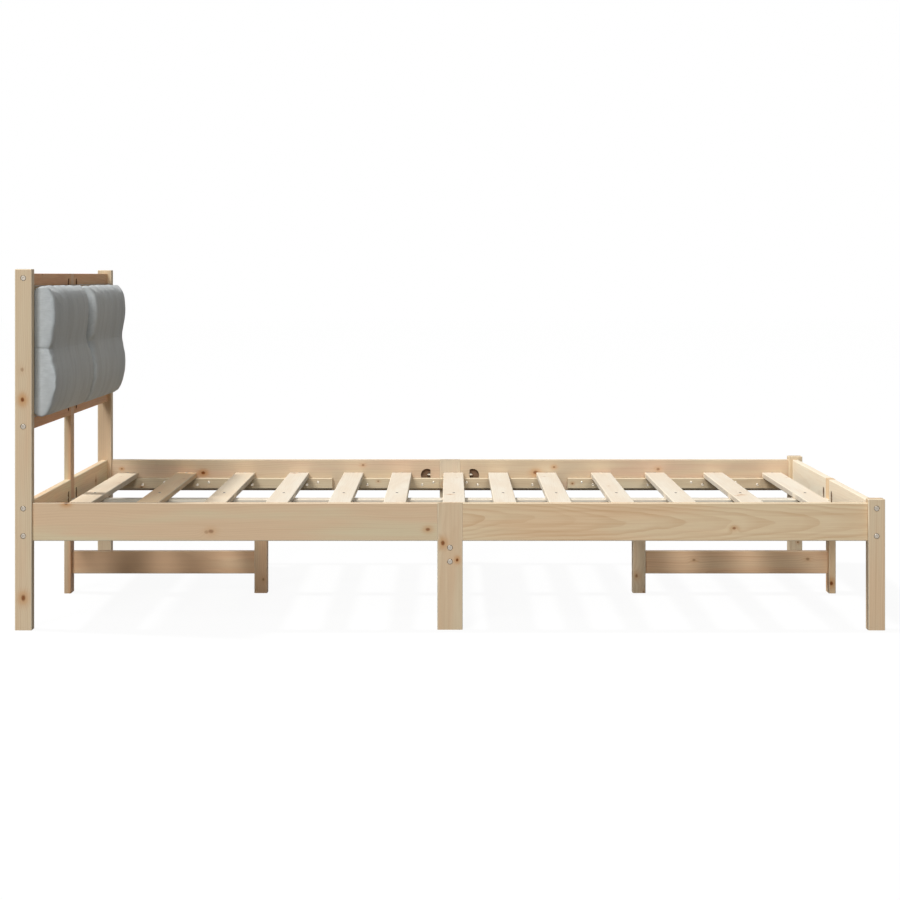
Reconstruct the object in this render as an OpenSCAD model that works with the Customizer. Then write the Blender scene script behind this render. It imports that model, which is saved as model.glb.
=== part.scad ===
// Slatted wooden bed frame with a two-cushion headboard.
// The head end points to -X, the foot end to +X and "left" is the -Y side.
// The origin is on the floor under the middle of the frame. All sizes in mm.
// The rails meet the middle legs in two halves, drawn together by threaded rods
// whose nuts sit in half-moon pockets in the rails' inner faces.

/* [Overall] */
// Length over the head posts and foot posts
frame_l = 2055; // [1900:5:2300]
// Width over the posts
frame_w = 1455; // [1155:5:1855]
// Height of the head posts
head_post_h = 853; // [800:1:1000]
// Height of the foot posts
foot_post_h = 310; // [304:1:420]

/* [Timber] */
// Side of the square corner posts
post_s = 40; // [36:1:60]
// Thickness of the rails, middle legs, stretchers and cross beam
board_t = 18; // [16:1:24]
// Width of the middle legs and centre posts
leg_w = 60; // [50:1:80]
// Radius of the eased long edges
edge_r = 2.5; // [1:0.5:4]

/* [Bed rails] */
// Height of the bed rails' lower edge above the floor
rail_z = 210; // [180:1:240]
// Height of the bed rails
rail_h = 90; // [80:1:93]
// Distance from a bed rail's edge to the end rail bolt beside it
bolt_inset = 12.5; // [11:0.5:16]
// Distance from a bed rail's edge to the side rail bolt beside it
side_bolt_inset = 27.5; // [26:0.5:32]

/* [Headboard] */
// Height of the two headboard rails
board_rail_h = 60; // [50:1:80]
// How far the top rail lies below the tops of the head posts
top_rail_drop = 10.5; // [4:0.5:30]
// Height of the low headboard rail's lower edge above the floor
low_rail_z = 470; // [400:1:500]
// Distance from a headboard rail's outer edge to its bolt
board_rail_bolt = 11; // [9:0.5:16]
// Distance from a headboard rail's inner edge to its dowel
board_rail_dowel = 14; // [9:0.5:16]

/* [Cushions] */
// How much of the top rail stays bare above the cushions
top_reveal = 29; // [20:0.5:40]
// How much of the low rail stays bare below the cushions
low_reveal = 30.5; // [20:0.5:40]
// Depth of a cushion at its crown
cushion_d = 51; // [35:1:70]
// Depth lost in the sewn channel that crosses a cushion
seam_depth = 15; // [5:1:25]
// Reach of the channel's slopes above and below the seam
seam_reach = 30; // [15:1:50]
// How far the side walls draw in between the corners and at the seam
side_draw = 5; // [2:0.5:10]
// How far the seam lies above a cushion's middle
seam_lift = 4; // [-20:1:20]
// Steepness of a cushion's two ends, from soft to square
end_steepness = 20; // [8:1:30]
// Steepness of a cushion's top and bottom, from soft to square
rise_steepness = 7; // [4:1:14]
// Thickness of the board behind each cushion
back_t = 9; // [8:1:12]
// Distance from a board's end to its outer screws
back_screw_margin = 110; // [90:1:200]

/* [Slats] */
// Width of a slat
slat_w = 58; // [50:1:64]
// Thickness of a slat
slat_t = 15; // [12:1:20]
// Distance between the slats of the middle group
inner_pitch = 140.5; // [125:0.5:145]
// Distance from the middle of the bed to the first slat of an end group
outer_slat_x = 440; // [405:1:450]
// Distance between the three slats nearest an end
outer_pitch = 171; // [140:1:180]
// Gap between the last slat and the end rail
slat_end_gap = 30.5; // [10:0.5:60]
// How far the middle slat stands off the joint in the centre beam
middle_slat_shift = 10; // [6:0.5:20]

/* [Ledgers] */
// Depth of a ledger, away from its rail
ledger_d = 25; // [20:1:35]
// Height of a ledger
ledger_h = 30; // [24:1:36]
// How far the slats' seat lies below the top of the bed rails
seat_drop = 52.5; // [40:0.5:56]
// Distance from the middle of the bed to the break between two ledgers
ledger_break_x = 328; // [318:1:360]
// Width of that break
ledger_break_w = 29; // [10:1:40]
// Distance from a ledger's end at the break to its first screw
ledger_screw_inset = 73.5; // [40:0.5:90]
// Distance between the screws along a ledger
ledger_screw_pitch = 159.5; // [100:0.5:200]
// Height of the lower row of screws above a ledger's lower edge
low_screw_rise = 11.5; // [10:0.5:13]
// Height of the upper row of screws above a ledger's lower edge
high_screw_rise = 18.5; // [17:0.5:20]

/* [Centre support] */
// Width of the centre beam
beam_w = 60; // [50:1:80]
// Height of the centre beam
beam_h = 40; // [30:1:50]
// Height of the cross beam
cross_h = 60; // [50:1:80]
// Height of a stretcher
stretcher_h = 60; // [50:1:80]
// Height of a stretcher's lower edge above the floor
stretcher_z = 50; // [30:1:80]
// Thickness of a centre leg along the bed
centre_leg_t = 34; // [28:1:50]
// Width of a centre leg across the bed
centre_leg_w = 44; // [36:1:60]
// Distance from the middle of the bed to a centre leg's near face
centre_leg_x = 482; // [400:1:520]
// Distance from a narrow board's edge to the bolt in its end
narrow_bolt_inset = 13.5; // [12:0.5:16]
// Distance of the paired bolts and dowels from the middle of the beam
beam_pin_y = 14; // [12:0.5:16]

/* [Half-moon pockets] */
// Distance from the leg to the pocket's flat side
pocket_x = 27; // [20:1:40]
// Radius of the pocket
pocket_r = 18; // [16:0.5:22]
// Distance from the flat side to the centre of the round side
pocket_offset = 10; // [6:0.5:12]

/* [Fasteners] */
// Diameter of the bolts and threaded rods
bolt_d = 6; // [5:0.5:8]
// Diameter of a bolt's head
bolt_head_d = 12; // [10:0.5:14]
// Height of a bolt's head
bolt_head_h = 3.5; // [2.5:0.5:5]
// Key size of the socket in a bolt's head
bolt_key = 4; // [3:0.5:5]
// Depth of that socket
bolt_key_depth = 2.1; // [1:0.1:2.5]
// Reach of a bolt into the timber behind the post or leg
bolt_reach = 30; // [24:1:40]
// Outer diameter of the threaded insert in a rail's end
insert_d = 10; // [9:0.5:12]
// Length of a threaded insert
insert_l = 15; // [10:1:20]
// Diameter of a rod's washer
washer_d = 12; // [11:0.5:14]
// Thickness of a washer
washer_t = 1.5; // [1:0.5:2]
// Size across the flats of a nut
nut_af = 10; // [8:0.5:11]
// Height of a nut
nut_h = 5; // [4:0.5:6]
// Length of rod beyond each nut
rod_tail = 3; // [1:0.5:5]
// Diameter of a dowel
dowel_d = 8; // [6:0.5:10]
// Reach of a dowel into each piece that it joins
dowel_reach = 20; // [12:1:28]
// Diameter of a wood screw
screw_d = 4; // [3:0.5:5]
// Length of a wood screw
screw_l = 35; // [31:1:38]
// Diameter of a wood screw's countersunk head
screw_head_d = 8; // [7:0.5:9]
// Length of the screws that hold the cushions' boards
board_screw_l = 24; // [20:1:25]

/* [Clearances] */
// Clearance around bolts in their holes
bolt_gap = 0.25; // [0.1:0.05:0.5]
// Clearance around a bolt's head in its sink
sink_gap = 0.75; // [0.3:0.05:1.5]
// How far a bolt's head lies below the timber's face
head_sink = 0.4; // [0.2:0.1:1.5]
// Extra depth of a blind hole beyond its fastener
blind_gap = 1; // [0.5:0.5:3]
// Clearance around inserts, dowels, screws and threads in their seats
seat_gap = 0.05; // [0.02:0.01:0.1]
// Gap at the ends of slats and ledgers
end_gap = 0.5; // [0.3:0.1:2]
// Clearance around a soft cushion
soft_gap = 0.3; // [0.2:0.1:1]
// Gap between a cushion's board and the posts and edges beside it
board_edge_gap = 1; // [0.5:0.5:3]

/* [Hidden] */
$fn = 24;

pine = [0.80, 0.70, 0.57];
pale_pine = [0.93, 0.88, 0.80];
plywood = [0.82, 0.72, 0.56];
grey_fabric = [0.47, 0.48, 0.48];
zinc = [0.75, 0.76, 0.78];
beech = [0.78, 0.62, 0.45];

head = -1;
foot = 1;
left = -1;
right = 1;
cut = 0.1;
edge_steps = 4;

// Planes along the bed, measured from its middle
post_x = frame_l / 2 - post_s / 2;
post_in_x = frame_l / 2 - post_s;
end_in_x = post_x - board_t / 2;
end_out_x = post_x + board_t / 2;

// Planes across the bed, measured from its middle
post_y = frame_w / 2 - post_s / 2;
post_in_y = frame_w / 2 - post_s;
side_in_y = post_y - board_t / 2;
side_out_y = post_y + board_t / 2;
half_leg = leg_w / 2;

// Levels
rail_top = rail_z + rail_h;
rail_mid = rail_z + rail_h / 2;
top_rail_z = head_post_h - top_rail_drop - board_rail_h;
top_rail_mid = top_rail_z + board_rail_h / 2;
low_rail_mid = low_rail_z + board_rail_h / 2;
seat_z = rail_top - seat_drop;
slat_top = seat_z + slat_t;
beam_z = seat_z - beam_h;
cross_z = beam_z - cross_h;

// Bolt and dowel levels
end_bolt_levels = [rail_z + bolt_inset, rail_top - bolt_inset];
top_bolt_level = top_rail_z + board_rail_h - board_rail_bolt;
low_bolt_level = low_rail_z + board_rail_bolt;
head_bolt_levels = concat(end_bolt_levels, [low_bolt_level, top_bolt_level]);
side_bolt_levels = [rail_z + side_bolt_inset, rail_top - side_bolt_inset];
cross_bolt_levels = [cross_z + narrow_bolt_inset, beam_z - narrow_bolt_inset];
stretcher_bolt_levels = [
    stretcher_z + narrow_bolt_inset,
    stretcher_z + stretcher_h - narrow_bolt_inset
];
beam_mid = beam_z + beam_h / 2;
top_dowel_level = top_rail_z + board_rail_dowel;
low_dowel_level = low_rail_z + board_rail_h - board_rail_dowel;
board_dowel_levels = [low_dowel_level, top_dowel_level];

// Counterbore that sinks a bolt's head
sink_d = bolt_head_d + 2 * sink_gap;
sink_h = bolt_head_h + head_sink;
hole_d = bolt_d + 2 * bolt_gap;
rod_axis_in = board_t / 2;
pocket_depth = rod_axis_in + washer_d / 2 + bolt_gap;
rod_half = half_leg + pocket_x + washer_t + nut_h + rod_tail;

// Slats, from the head to the foot
end_slat_x = end_in_x - slat_end_gap - slat_w / 2;
half_slats = [
    inner_pitch, 2 * inner_pitch, outer_slat_x,
    end_slat_x - 2 * outer_pitch, end_slat_x - outer_pitch, end_slat_x
];
slat_places = concat(
    [for (i = [len(half_slats) - 1:-1:0]) -half_slats[i]],
    [middle_slat_shift],
    half_slats
);
slat_half_l = side_in_y - end_gap;

// Ledgers: the inner one ends at the leg block, the outer one at the post
inner_ledger_from = half_leg + end_gap;
inner_ledger_to = ledger_break_x - ledger_break_w / 2;
outer_ledger_from = ledger_break_x + ledger_break_w / 2;
outer_ledger_to = post_in_x - end_gap;
ledger_y = side_in_y - ledger_d / 2;
ledger_z = seat_z - ledger_h;
low_screw_z = ledger_z + low_screw_rise;
high_screw_z = ledger_z + high_screw_rise;

// The lower row of screws runs from each ledger's end at the break
end_screw_margin = 10;
last_inner_screw = inner_ledger_from + end_screw_margin;
last_outer_screw = outer_ledger_to - end_screw_margin;
inner_screws = [
    for (x = [inner_ledger_to - ledger_screw_inset:-ledger_screw_pitch:last_inner_screw]) x
];
outer_screws = [
    for (x = [outer_ledger_from + ledger_screw_inset:ledger_screw_pitch:last_outer_screw]) x
];

// The upper row has a few screws, at these distances from the same end
high_inner_insets = [265.5];
high_outer_insets = [41, 359.5, 488.5];
high_inner_screws = [for (inset = high_inner_insets) inner_ledger_to - inset];
high_outer_screws = [for (inset = high_outer_insets) outer_ledger_from + inset];

// The leg block's screws pass on both sides of the middle slat's
block_screws = [-18, 22];

// Cushions and their boards
board_y0 = board_edge_gap;
board_y1 = post_in_y - board_edge_gap;
cushion_z0 = low_rail_z + low_reveal;
cushion_z1 = top_rail_z + board_rail_h - top_reveal;
back_z0 = cushion_z0 + board_edge_gap;
back_z1 = cushion_z1 - board_edge_gap;
back_screw_levels = [
    (back_z0 + low_rail_z + board_rail_h) / 2,
    (back_z1 + top_rail_z) / 2
];
back_screw_places = [
    board_y0 + back_screw_margin,
    (board_y0 + board_y1) / 2,
    board_y1 - back_screw_margin
];

// Points of one eased corner of a bar's cross-section
function corner(x, y, turn) = [
    for (i = [0:edge_steps])
        let (a = turn + 90 * i / edge_steps)
        [x + edge_r * cos(a), y + edge_r * sin(a)]
];

// Cross-section of a bar whose four long edges are eased
module eased_outline(w, h) {
    polygon(concat(
        corner(w - edge_r, h - edge_r, 0),
        corner(edge_r, h - edge_r, 90),
        corner(edge_r, edge_r, 180),
        corner(w - edge_r, edge_r, 270)
    ));
}

// Bars from their lowest corner, eased along their length
module bar_x(from, size) {
    translate(from)
        rotate([90, 0, 90])
            linear_extrude(size[0])
                eased_outline(size[1], size[2]);
}

module bar_y(from, size) {
    translate([from[0], from[1] + size[1], from[2]])
        rotate([90, 0, 0])
            linear_extrude(size[1])
                eased_outline(size[0], size[2]);
}

module bar_z(from, size) {
    translate(from)
        linear_extrude(size[2])
            eased_outline(size[0], size[1]);
}

// Moves a piece drawn for the foot end's right side to its own quarter
module quarter(end, side) {
    mirror([end == head ? 1 : 0, 0, 0])
        mirror([0, side == left ? 1 : 0, 0])
            children();
}

// Turn a hole or fastener that points along +Z towards +X, +Y or -Y
module facing_x(at) {
    translate(at) rotate([0, 90, 0]) children();
}

module facing_y(at) {
    translate(at) rotate([-90, 0, 0]) children();
}

module facing_back_y(at) {
    translate(at) rotate([90, 0, 0]) children();
}

// Sunk socket-head bolt, its mouth at the origin, running down -Z
module bolt(through) {
    difference() {
        union() {
            translate([0, 0, -sink_h])
                cylinder(h = bolt_head_h, d = bolt_head_d);
            translate([0, 0, -through - bolt_reach])
                cylinder(h = through + bolt_reach - sink_h, d = bolt_d);
        }
        translate([0, 0, -head_sink - bolt_key_depth])
            cylinder(h = bolt_key_depth + cut, d = bolt_key / cos(30), $fn = 6);
    }
}

// Hole with a sink for a bolt through a piece of the given thickness
module bolt_hole(through) {
    translate([0, 0, -sink_h])
        cylinder(h = sink_h + cut, d = sink_d);
    translate([0, 0, -through - cut])
        cylinder(h = through + 2 * cut, d = hole_d);
}

// Threaded insert flush with a board's end, running down -Z
module insert() {
    difference() {
        translate([0, 0, -insert_l])
            cylinder(h = insert_l, d = insert_d);
        translate([0, 0, -insert_l - cut])
            cylinder(h = insert_l + 2 * cut, d = bolt_d + 2 * seat_gap);
    }
}

// Seat of an insert, with room behind it for the bolt's tip
module insert_seat() {
    translate([0, 0, -insert_l])
        cylinder(h = insert_l + cut, d = insert_d + 2 * seat_gap);
    translate([0, 0, -bolt_reach - blind_gap])
        cylinder(h = bolt_reach + blind_gap, d = hole_d);
}

// Dowel and its hole, centred on the joint that they cross
module dowel(crossing) {
    cylinder(h = crossing + 2 * dowel_reach, d = dowel_d, center = true);
}

module dowel_hole(crossing) {
    cylinder(
        h = crossing + 2 * dowel_reach + blind_gap,
        d = dowel_d + 2 * seat_gap,
        center = true
    );
}

// Outline of a countersunk screw, from its axis outwards
module screw_outline(l, gap) {
    head_h = screw_head_d / 2 - screw_d / 2;
    point_h = screw_d;
    polygon([
        [0, 0], [screw_head_d / 2 + gap, 0],
        [screw_d / 2 + gap, -head_h], [screw_d / 2 + gap, point_h - l],
        [0, -l - gap]
    ]);
}

// Countersunk wood screw, its head's face at the origin, running down -Z
module screw(l) {
    rotate_extrude() screw_outline(l, 0);
}

module screw_hole(l) {
    rotate_extrude() screw_outline(l, seat_gap);
    cylinder(h = cut, d = screw_head_d + 2 * seat_gap);
}

// Half-moon pocket and rod hole for a rail that leaves the leg along +Z,
// with the rail's inner face towards -Y and the rod's axis on the origin
module rod_pocket() {
    centre = pocket_x + pocket_offset;
    translate([0, pocket_depth - rod_axis_in, 0])
        rotate([90, 0, 0])
            linear_extrude(pocket_depth + cut)
                intersection() {
                    translate([0, centre])
                        circle(r = pocket_r, $fn = 48);
                    translate([-pocket_r, pocket_x])
                        square([2 * pocket_r, 2 * pocket_r]);
                }
    translate([0, 0, -cut])
        cylinder(h = pocket_x + pocket_offset, d = hole_d);
}

// Threaded rod along Z with a washer and a nut in each pocket
module joint_rod() {
    cylinder(h = 2 * rod_half, d = bolt_d, center = true);
    for (turn = [0, 180])
        rotate([turn, 0, 0])
            translate([0, 0, half_leg + pocket_x])
                difference() {
                    union() {
                        cylinder(h = washer_t, d = washer_d);
                        translate([0, 0, washer_t])
                            rotate([0, 0, 30])
                                cylinder(h = nut_h, d = nut_af / cos(30), $fn = 6);
                    }
                    translate([0, 0, -cut])
                        cylinder(h = washer_t + nut_h + 2 * cut, d = bolt_d + 2 * seat_gap);
                }
}

// Square post with its long edges and its top eased
module post(height) {
    intersection() {
        bar_z([post_in_x, post_in_y, 0], [post_s, post_s, height]);
        bar_x([post_in_x, post_in_y, -2 * edge_r], [post_s, post_s, height + 2 * edge_r]);
        bar_y([post_in_x, post_in_y, -2 * edge_r], [post_s, post_s, height + 2 * edge_r]);
    }
}

// Cuts for the bolts that come through a corner post
module post_cuts(levels) {
    for (z = levels)
        facing_y([post_x, frame_w / 2, z]) bolt_hole(post_s);
    for (z = side_bolt_levels)
        facing_x([frame_l / 2, post_y, z]) bolt_hole(post_s);
}

module head_post(side) {
    color(pine)
        quarter(head, side)
            difference() {
                post(head_post_h);
                post_cuts(head_bolt_levels);
                for (z = board_dowel_levels)
                    facing_y([post_x, post_in_y, z]) dowel_hole(0);
            }
}

module foot_post(side) {
    color(pine)
        quarter(foot, side)
            difference() {
                post(foot_post_h);
                post_cuts(end_bolt_levels);
            }
}

// Cuts for the beam's and stretcher's bolts in a centre post or leg
module centre_cuts(levels) {
    for (y = [-beam_pin_y, beam_pin_y])
        facing_x([end_out_x, y, beam_mid]) bolt_hole(board_t);
    for (z = stretcher_bolt_levels)
        facing_x([end_out_x, 0, z]) bolt_hole(board_t);
    for (z = levels)
        facing_y([post_x, 0, z])
            cylinder(h = leg_w + 2 * cut, d = hole_d, center = true);
}

module head_centre_post() {
    color(pine)
        quarter(head, right)
            difference() {
                bar_z([end_in_x, -half_leg, 0], [board_t, leg_w, top_rail_z + board_rail_h]);
                centre_cuts([rail_mid, low_rail_mid, top_rail_mid]);
                for (z = board_dowel_levels)
                    facing_y([post_x, 0, z]) dowel_hole(leg_w);
            }
}

module foot_centre_leg() {
    color(pine)
        difference() {
            bar_z([end_in_x, -half_leg, 0], [board_t, leg_w, rail_top]);
            centre_cuts([rail_mid]);
        }
}

// Half of a rail across the bed, between a corner post and a centre post
module end_rail(z, height, bolt_levels) {
    difference() {
        bar_y([end_in_x, half_leg, z], [board_t, post_in_y - half_leg, height]);
        for (level = bolt_levels)
            facing_y([post_x, post_in_y, level]) insert_seat();
        translate([post_x, half_leg, z + height / 2])
            rotate([-90, 0, 0])
                rotate([0, 0, -90])
                    rod_pocket();
    }
}

module bed_end_rail(end, side) {
    color(pine)
        quarter(end, side)
            end_rail(rail_z, rail_h, end_bolt_levels);
}

module headboard_rail(side, z, bolt_level, dowel_level, screw_level) {
    color(pine)
        quarter(head, side)
            difference() {
                end_rail(z, board_rail_h, [bolt_level]);
                facing_y([post_x, post_in_y, dowel_level]) dowel_hole(0);
                facing_y([post_x, 0, dowel_level]) dowel_hole(leg_w);
                for (y = back_screw_places)
                    facing_x([end_out_x, y, screw_level]) screw_hole(board_screw_l);
            }
}

module headboard_top_rail(side) {
    headboard_rail(side, top_rail_z, top_bolt_level, top_dowel_level, back_screw_levels[1]);
}

module headboard_low_rail(side) {
    headboard_rail(side, low_rail_z, low_bolt_level, low_dowel_level, back_screw_levels[0]);
}

// The screws that hold the ledgers and blocks to the bed's right side
module ledger_screw_places() {
    face_y = side_in_y - ledger_d;
    for (x = concat(inner_screws, outer_screws), end = [head, foot])
        facing_back_y([end * x, face_y, low_screw_z]) children();
    for (x = concat(high_inner_screws, high_outer_screws), end = [head, foot])
        facing_back_y([end * x, face_y, high_screw_z]) children();
    for (x = block_screws)
        facing_back_y([x, face_y, low_screw_z]) children();
}

// The screws that come down through the slats
module slat_screw_places(rows) {
    for (x = slat_places, y = rows)
        translate([x, y, slat_top]) children();
}

module side_rail(end, side) {
    length = post_in_x - half_leg;
    color(pine)
        quarter(end, side)
            difference() {
                bar_x([half_leg, side_in_y, rail_z], [length, board_t, rail_h]);
                for (z = side_bolt_levels)
                    facing_x([post_in_x, post_y, z]) insert_seat();
                translate([half_leg, post_y, rail_mid])
                    rotate([0, 90, 0])
                        rod_pocket();
                ledger_screw_places() screw_hole(screw_l);
            }
}

module side_leg(side) {
    color(pine)
        quarter(foot, side)
            difference() {
                bar_z([-half_leg, side_in_y, 0], [leg_w, board_t, rail_top]);
                facing_x([0, post_y, rail_mid])
                    cylinder(h = leg_w + 2 * cut, d = hole_d, center = true);
                for (z = cross_bolt_levels)
                    facing_y([0, side_out_y, z]) bolt_hole(board_t);
                ledger_screw_places() screw_hole(screw_l);
            }
}

// A length of ledger with the holes of the screws that pass through it
module ledger_piece(from, to) {
    difference() {
        bar_x([from, side_in_y - ledger_d, ledger_z], [to - from, ledger_d, ledger_h]);
        ledger_screw_places() screw_hole(screw_l);
        slat_screw_places([ledger_y]) screw_hole(screw_l);
    }
}

// Ledgers are numbered from the head: outer, inner, inner, outer
module ledger(side, number) {
    spans = [
        [-outer_ledger_to, -outer_ledger_from],
        [-inner_ledger_to, -inner_ledger_from],
        [inner_ledger_from, inner_ledger_to],
        [outer_ledger_from, outer_ledger_to]
    ];
    span = spans[number - 1];
    color(pine)
        quarter(foot, side)
            ledger_piece(span[0], span[1]);
}

module leg_block(side) {
    color(pine)
        quarter(foot, side)
            ledger_piece(-half_leg, half_leg);
}

module cross_beam() {
    color(pine)
        difference() {
            bar_y([-board_t / 2, -side_in_y, cross_z], [board_t, 2 * side_in_y, cross_h]);
            for (side = [left, right], z = cross_bolt_levels)
                quarter(foot, side)
                    facing_y([0, side_in_y, z]) insert_seat();
        }
}

module centre_beam(end) {
    color(pine)
        difference() {
            quarter(end, right)
                difference() {
                    bar_x([0, -beam_w / 2, beam_z], [end_in_x, beam_w, beam_h]);
                    for (y = [-beam_pin_y, beam_pin_y]) {
                        facing_x([end_in_x, y, beam_mid]) insert_seat();
                        facing_x([0, y, beam_mid]) dowel_hole(0);
                        translate([centre_leg_x + centre_leg_t / 2, y, beam_z]) dowel_hole(0);
                    }
                }
            slat_screw_places([0]) screw_hole(screw_l);
        }
}

module centre_leg(end) {
    color(pine)
        quarter(end, right)
            difference() {
                bar_z(
                    [centre_leg_x, -centre_leg_w / 2, 0],
                    [centre_leg_t, centre_leg_w, beam_z]
                );
                for (z = stretcher_bolt_levels)
                    translate([centre_leg_x, 0, z])
                        rotate([0, -90, 0])
                            bolt_hole(centre_leg_t);
                for (y = [-beam_pin_y, beam_pin_y])
                    translate([centre_leg_x + centre_leg_t / 2, y, beam_z]) dowel_hole(0);
            }
}

module stretcher(end) {
    from = centre_leg_x + centre_leg_t;
    color(pine)
        quarter(end, right)
            difference() {
                bar_x([from, -board_t / 2, stretcher_z], [end_in_x - from, board_t, stretcher_h]);
                for (z = stretcher_bolt_levels) {
                    facing_x([end_in_x, 0, z]) insert_seat();
                    translate([from, 0, z]) rotate([0, -90, 0]) insert_seat();
                }
            }
}

module slat(number) {
    x = slat_places[number - 1];
    color(pale_pine)
        difference() {
            bar_y([x - slat_w / 2, -slat_half_l, seat_z], [slat_w, 2 * slat_half_l, slat_t]);
            for (y = [-ledger_y, 0, ledger_y])
                translate([x, y, slat_top]) screw_hole(screw_l);
        }
}

module back_board(side) {
    color(plywood)
        quarter(head, side)
            difference() {
                translate([end_in_x - back_t, board_y0, back_z0])
                    cube([back_t, board_y1 - board_y0, back_z1 - back_z0]);
                for (y = back_screw_places, z = back_screw_levels)
                    facing_x([end_out_x, y, z]) screw_hole(board_screw_l);
            }
}

// Fullness of a cushion from 0 at its edge to 1 over its middle
function full(t, hardness) = sqrt(max(0, 1 - pow(abs(t), hardness)));

// How much of the sewn channel is felt at a distance from the seam
function channel(dz) = exp(-pow(dz / seam_reach, 2));

// Cushion drawn as a crowned form on a flat back, with a channel sewn across.
// Its points start at the middle of its back, and the crown's highest sample
// is then brought to the cushion's full depth.
module cushion(side) {
    steps_y = 34;
    steps_z = 32;
    half_w = (board_y1 - board_y0) / 2;
    half_h = (cushion_z1 - cushion_z0) / 2;
    function end_t(i) = sin(180 * i / steps_y - 90);
    function rise_t(j) = sin(180 * j / steps_z - 90);
    function felt(tz) = channel(tz * half_h - seam_lift);
    function draw(tz) = side_draw * (1 - pow(tz, 4) + felt(tz)) / 2;
    function depth(ty, tz) =
        (cushion_d - seam_depth * felt(tz)) * full(ty, end_steepness) * full(tz, rise_steepness);
    function point(ty, tz) = [depth(ty, tz), ty * (half_w - draw(tz)), tz * half_h];
    function index(i, j) = i * (steps_z + 1) + j;
    front = [for (i = [0:steps_y], j = [0:steps_z]) point(end_t(i), rise_t(j))];
    rim = concat(
        [for (i = [0:steps_y - 1]) index(i, 0)],
        [for (j = [0:steps_z - 1]) index(steps_y, j)],
        [for (i = [steps_y:-1:1]) index(i, steps_z)],
        [for (j = [steps_z:-1:1]) index(0, j)]
    );
    hub = len(front);
    faces = concat(
        [for (i = [0:steps_y - 1], j = [0:steps_z - 1])
            [index(i, j), index(i, j + 1), index(i + 1, j + 1)]],
        [for (i = [0:steps_y - 1], j = [0:steps_z - 1])
            [index(i, j), index(i + 1, j + 1), index(i + 1, j)]],
        [for (k = [0:len(rim) - 1])
            [hub, rim[k], rim[(k + 1) % len(rim)]]]
    );
    color(grey_fabric)
        quarter(foot, side)
            translate([
                back_t + soft_gap - end_in_x,
                (board_y0 + board_y1) / 2,
                (cushion_z0 + cushion_z1) / 2
            ])
                resize([cushion_d, 0, 0])
                    polyhedron(points = concat(front, [[0, 0, 0]]), faces = faces);
}

module frame_bolts() {
    color(zinc) {
        for (end = [head, foot], side = [left, right])
            quarter(end, side) {
                levels = end == head ? head_bolt_levels : end_bolt_levels;
                for (z = levels)
                    facing_y([post_x, frame_w / 2, z]) bolt(post_s);
                for (z = side_bolt_levels)
                    facing_x([frame_l / 2, post_y, z]) bolt(post_s);
            }
        for (end = [head, foot])
            quarter(end, right) {
                for (y = [-beam_pin_y, beam_pin_y])
                    facing_x([end_out_x, y, beam_mid]) bolt(board_t);
                for (z = stretcher_bolt_levels) {
                    facing_x([end_out_x, 0, z]) bolt(board_t);
                    translate([centre_leg_x, 0, z])
                        rotate([0, -90, 0])
                            bolt(centre_leg_t);
                }
            }
        for (side = [left, right], z = cross_bolt_levels)
            quarter(foot, side)
                facing_y([0, side_out_y, z]) bolt(board_t);
    }
}

module threaded_inserts() {
    color(zinc) {
        for (end = [head, foot], side = [left, right])
            quarter(end, side) {
                levels = end == head ? head_bolt_levels : end_bolt_levels;
                for (z = levels)
                    facing_y([post_x, post_in_y, z]) insert();
                for (z = side_bolt_levels)
                    facing_x([post_in_x, post_y, z]) insert();
            }
        for (end = [head, foot])
            quarter(end, right) {
                for (y = [-beam_pin_y, beam_pin_y])
                    facing_x([end_in_x, y, beam_mid]) insert();
                for (z = stretcher_bolt_levels) {
                    facing_x([end_in_x, 0, z]) insert();
                    translate([centre_leg_x + centre_leg_t, 0, z])
                        rotate([0, -90, 0])
                            insert();
                }
            }
        for (side = [left, right], z = cross_bolt_levels)
            quarter(foot, side)
                facing_y([0, side_in_y, z]) insert();
    }
}

module joint_rods() {
    color(zinc) {
        for (side = [left, right])
            facing_x([0, side * post_y, rail_mid]) joint_rod();
        facing_y([post_x, 0, rail_mid]) rotate([0, 0, 90]) joint_rod();
        for (z = [rail_mid, low_rail_mid, top_rail_mid])
            facing_y([-post_x, 0, z]) rotate([0, 0, 90]) joint_rod();
    }
}

module dowels() {
    color(beech) {
        for (z = board_dowel_levels) {
            for (side = [left, right])
                quarter(head, side)
                    facing_y([post_x, post_in_y, z]) dowel(0);
            facing_y([-post_x, 0, z]) dowel(leg_w);
        }
        for (y = [-beam_pin_y, beam_pin_y]) {
            facing_x([0, y, beam_mid]) dowel(0);
            for (end = [head, foot])
                translate([end * (centre_leg_x + centre_leg_t / 2), y, beam_z]) dowel(0);
        }
    }
}

module wood_screws() {
    color(zinc) {
        slat_screw_places([-ledger_y, 0, ledger_y]) screw(screw_l);
        for (side = [left, right])
            quarter(foot, side)
                ledger_screw_places() screw(screw_l);
    }
}

module board_screws() {
    color(zinc)
        for (side = [left, right], y = back_screw_places, z = back_screw_levels)
            quarter(head, side)
                facing_x([end_out_x, y, z]) screw(board_screw_l);
}

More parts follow.
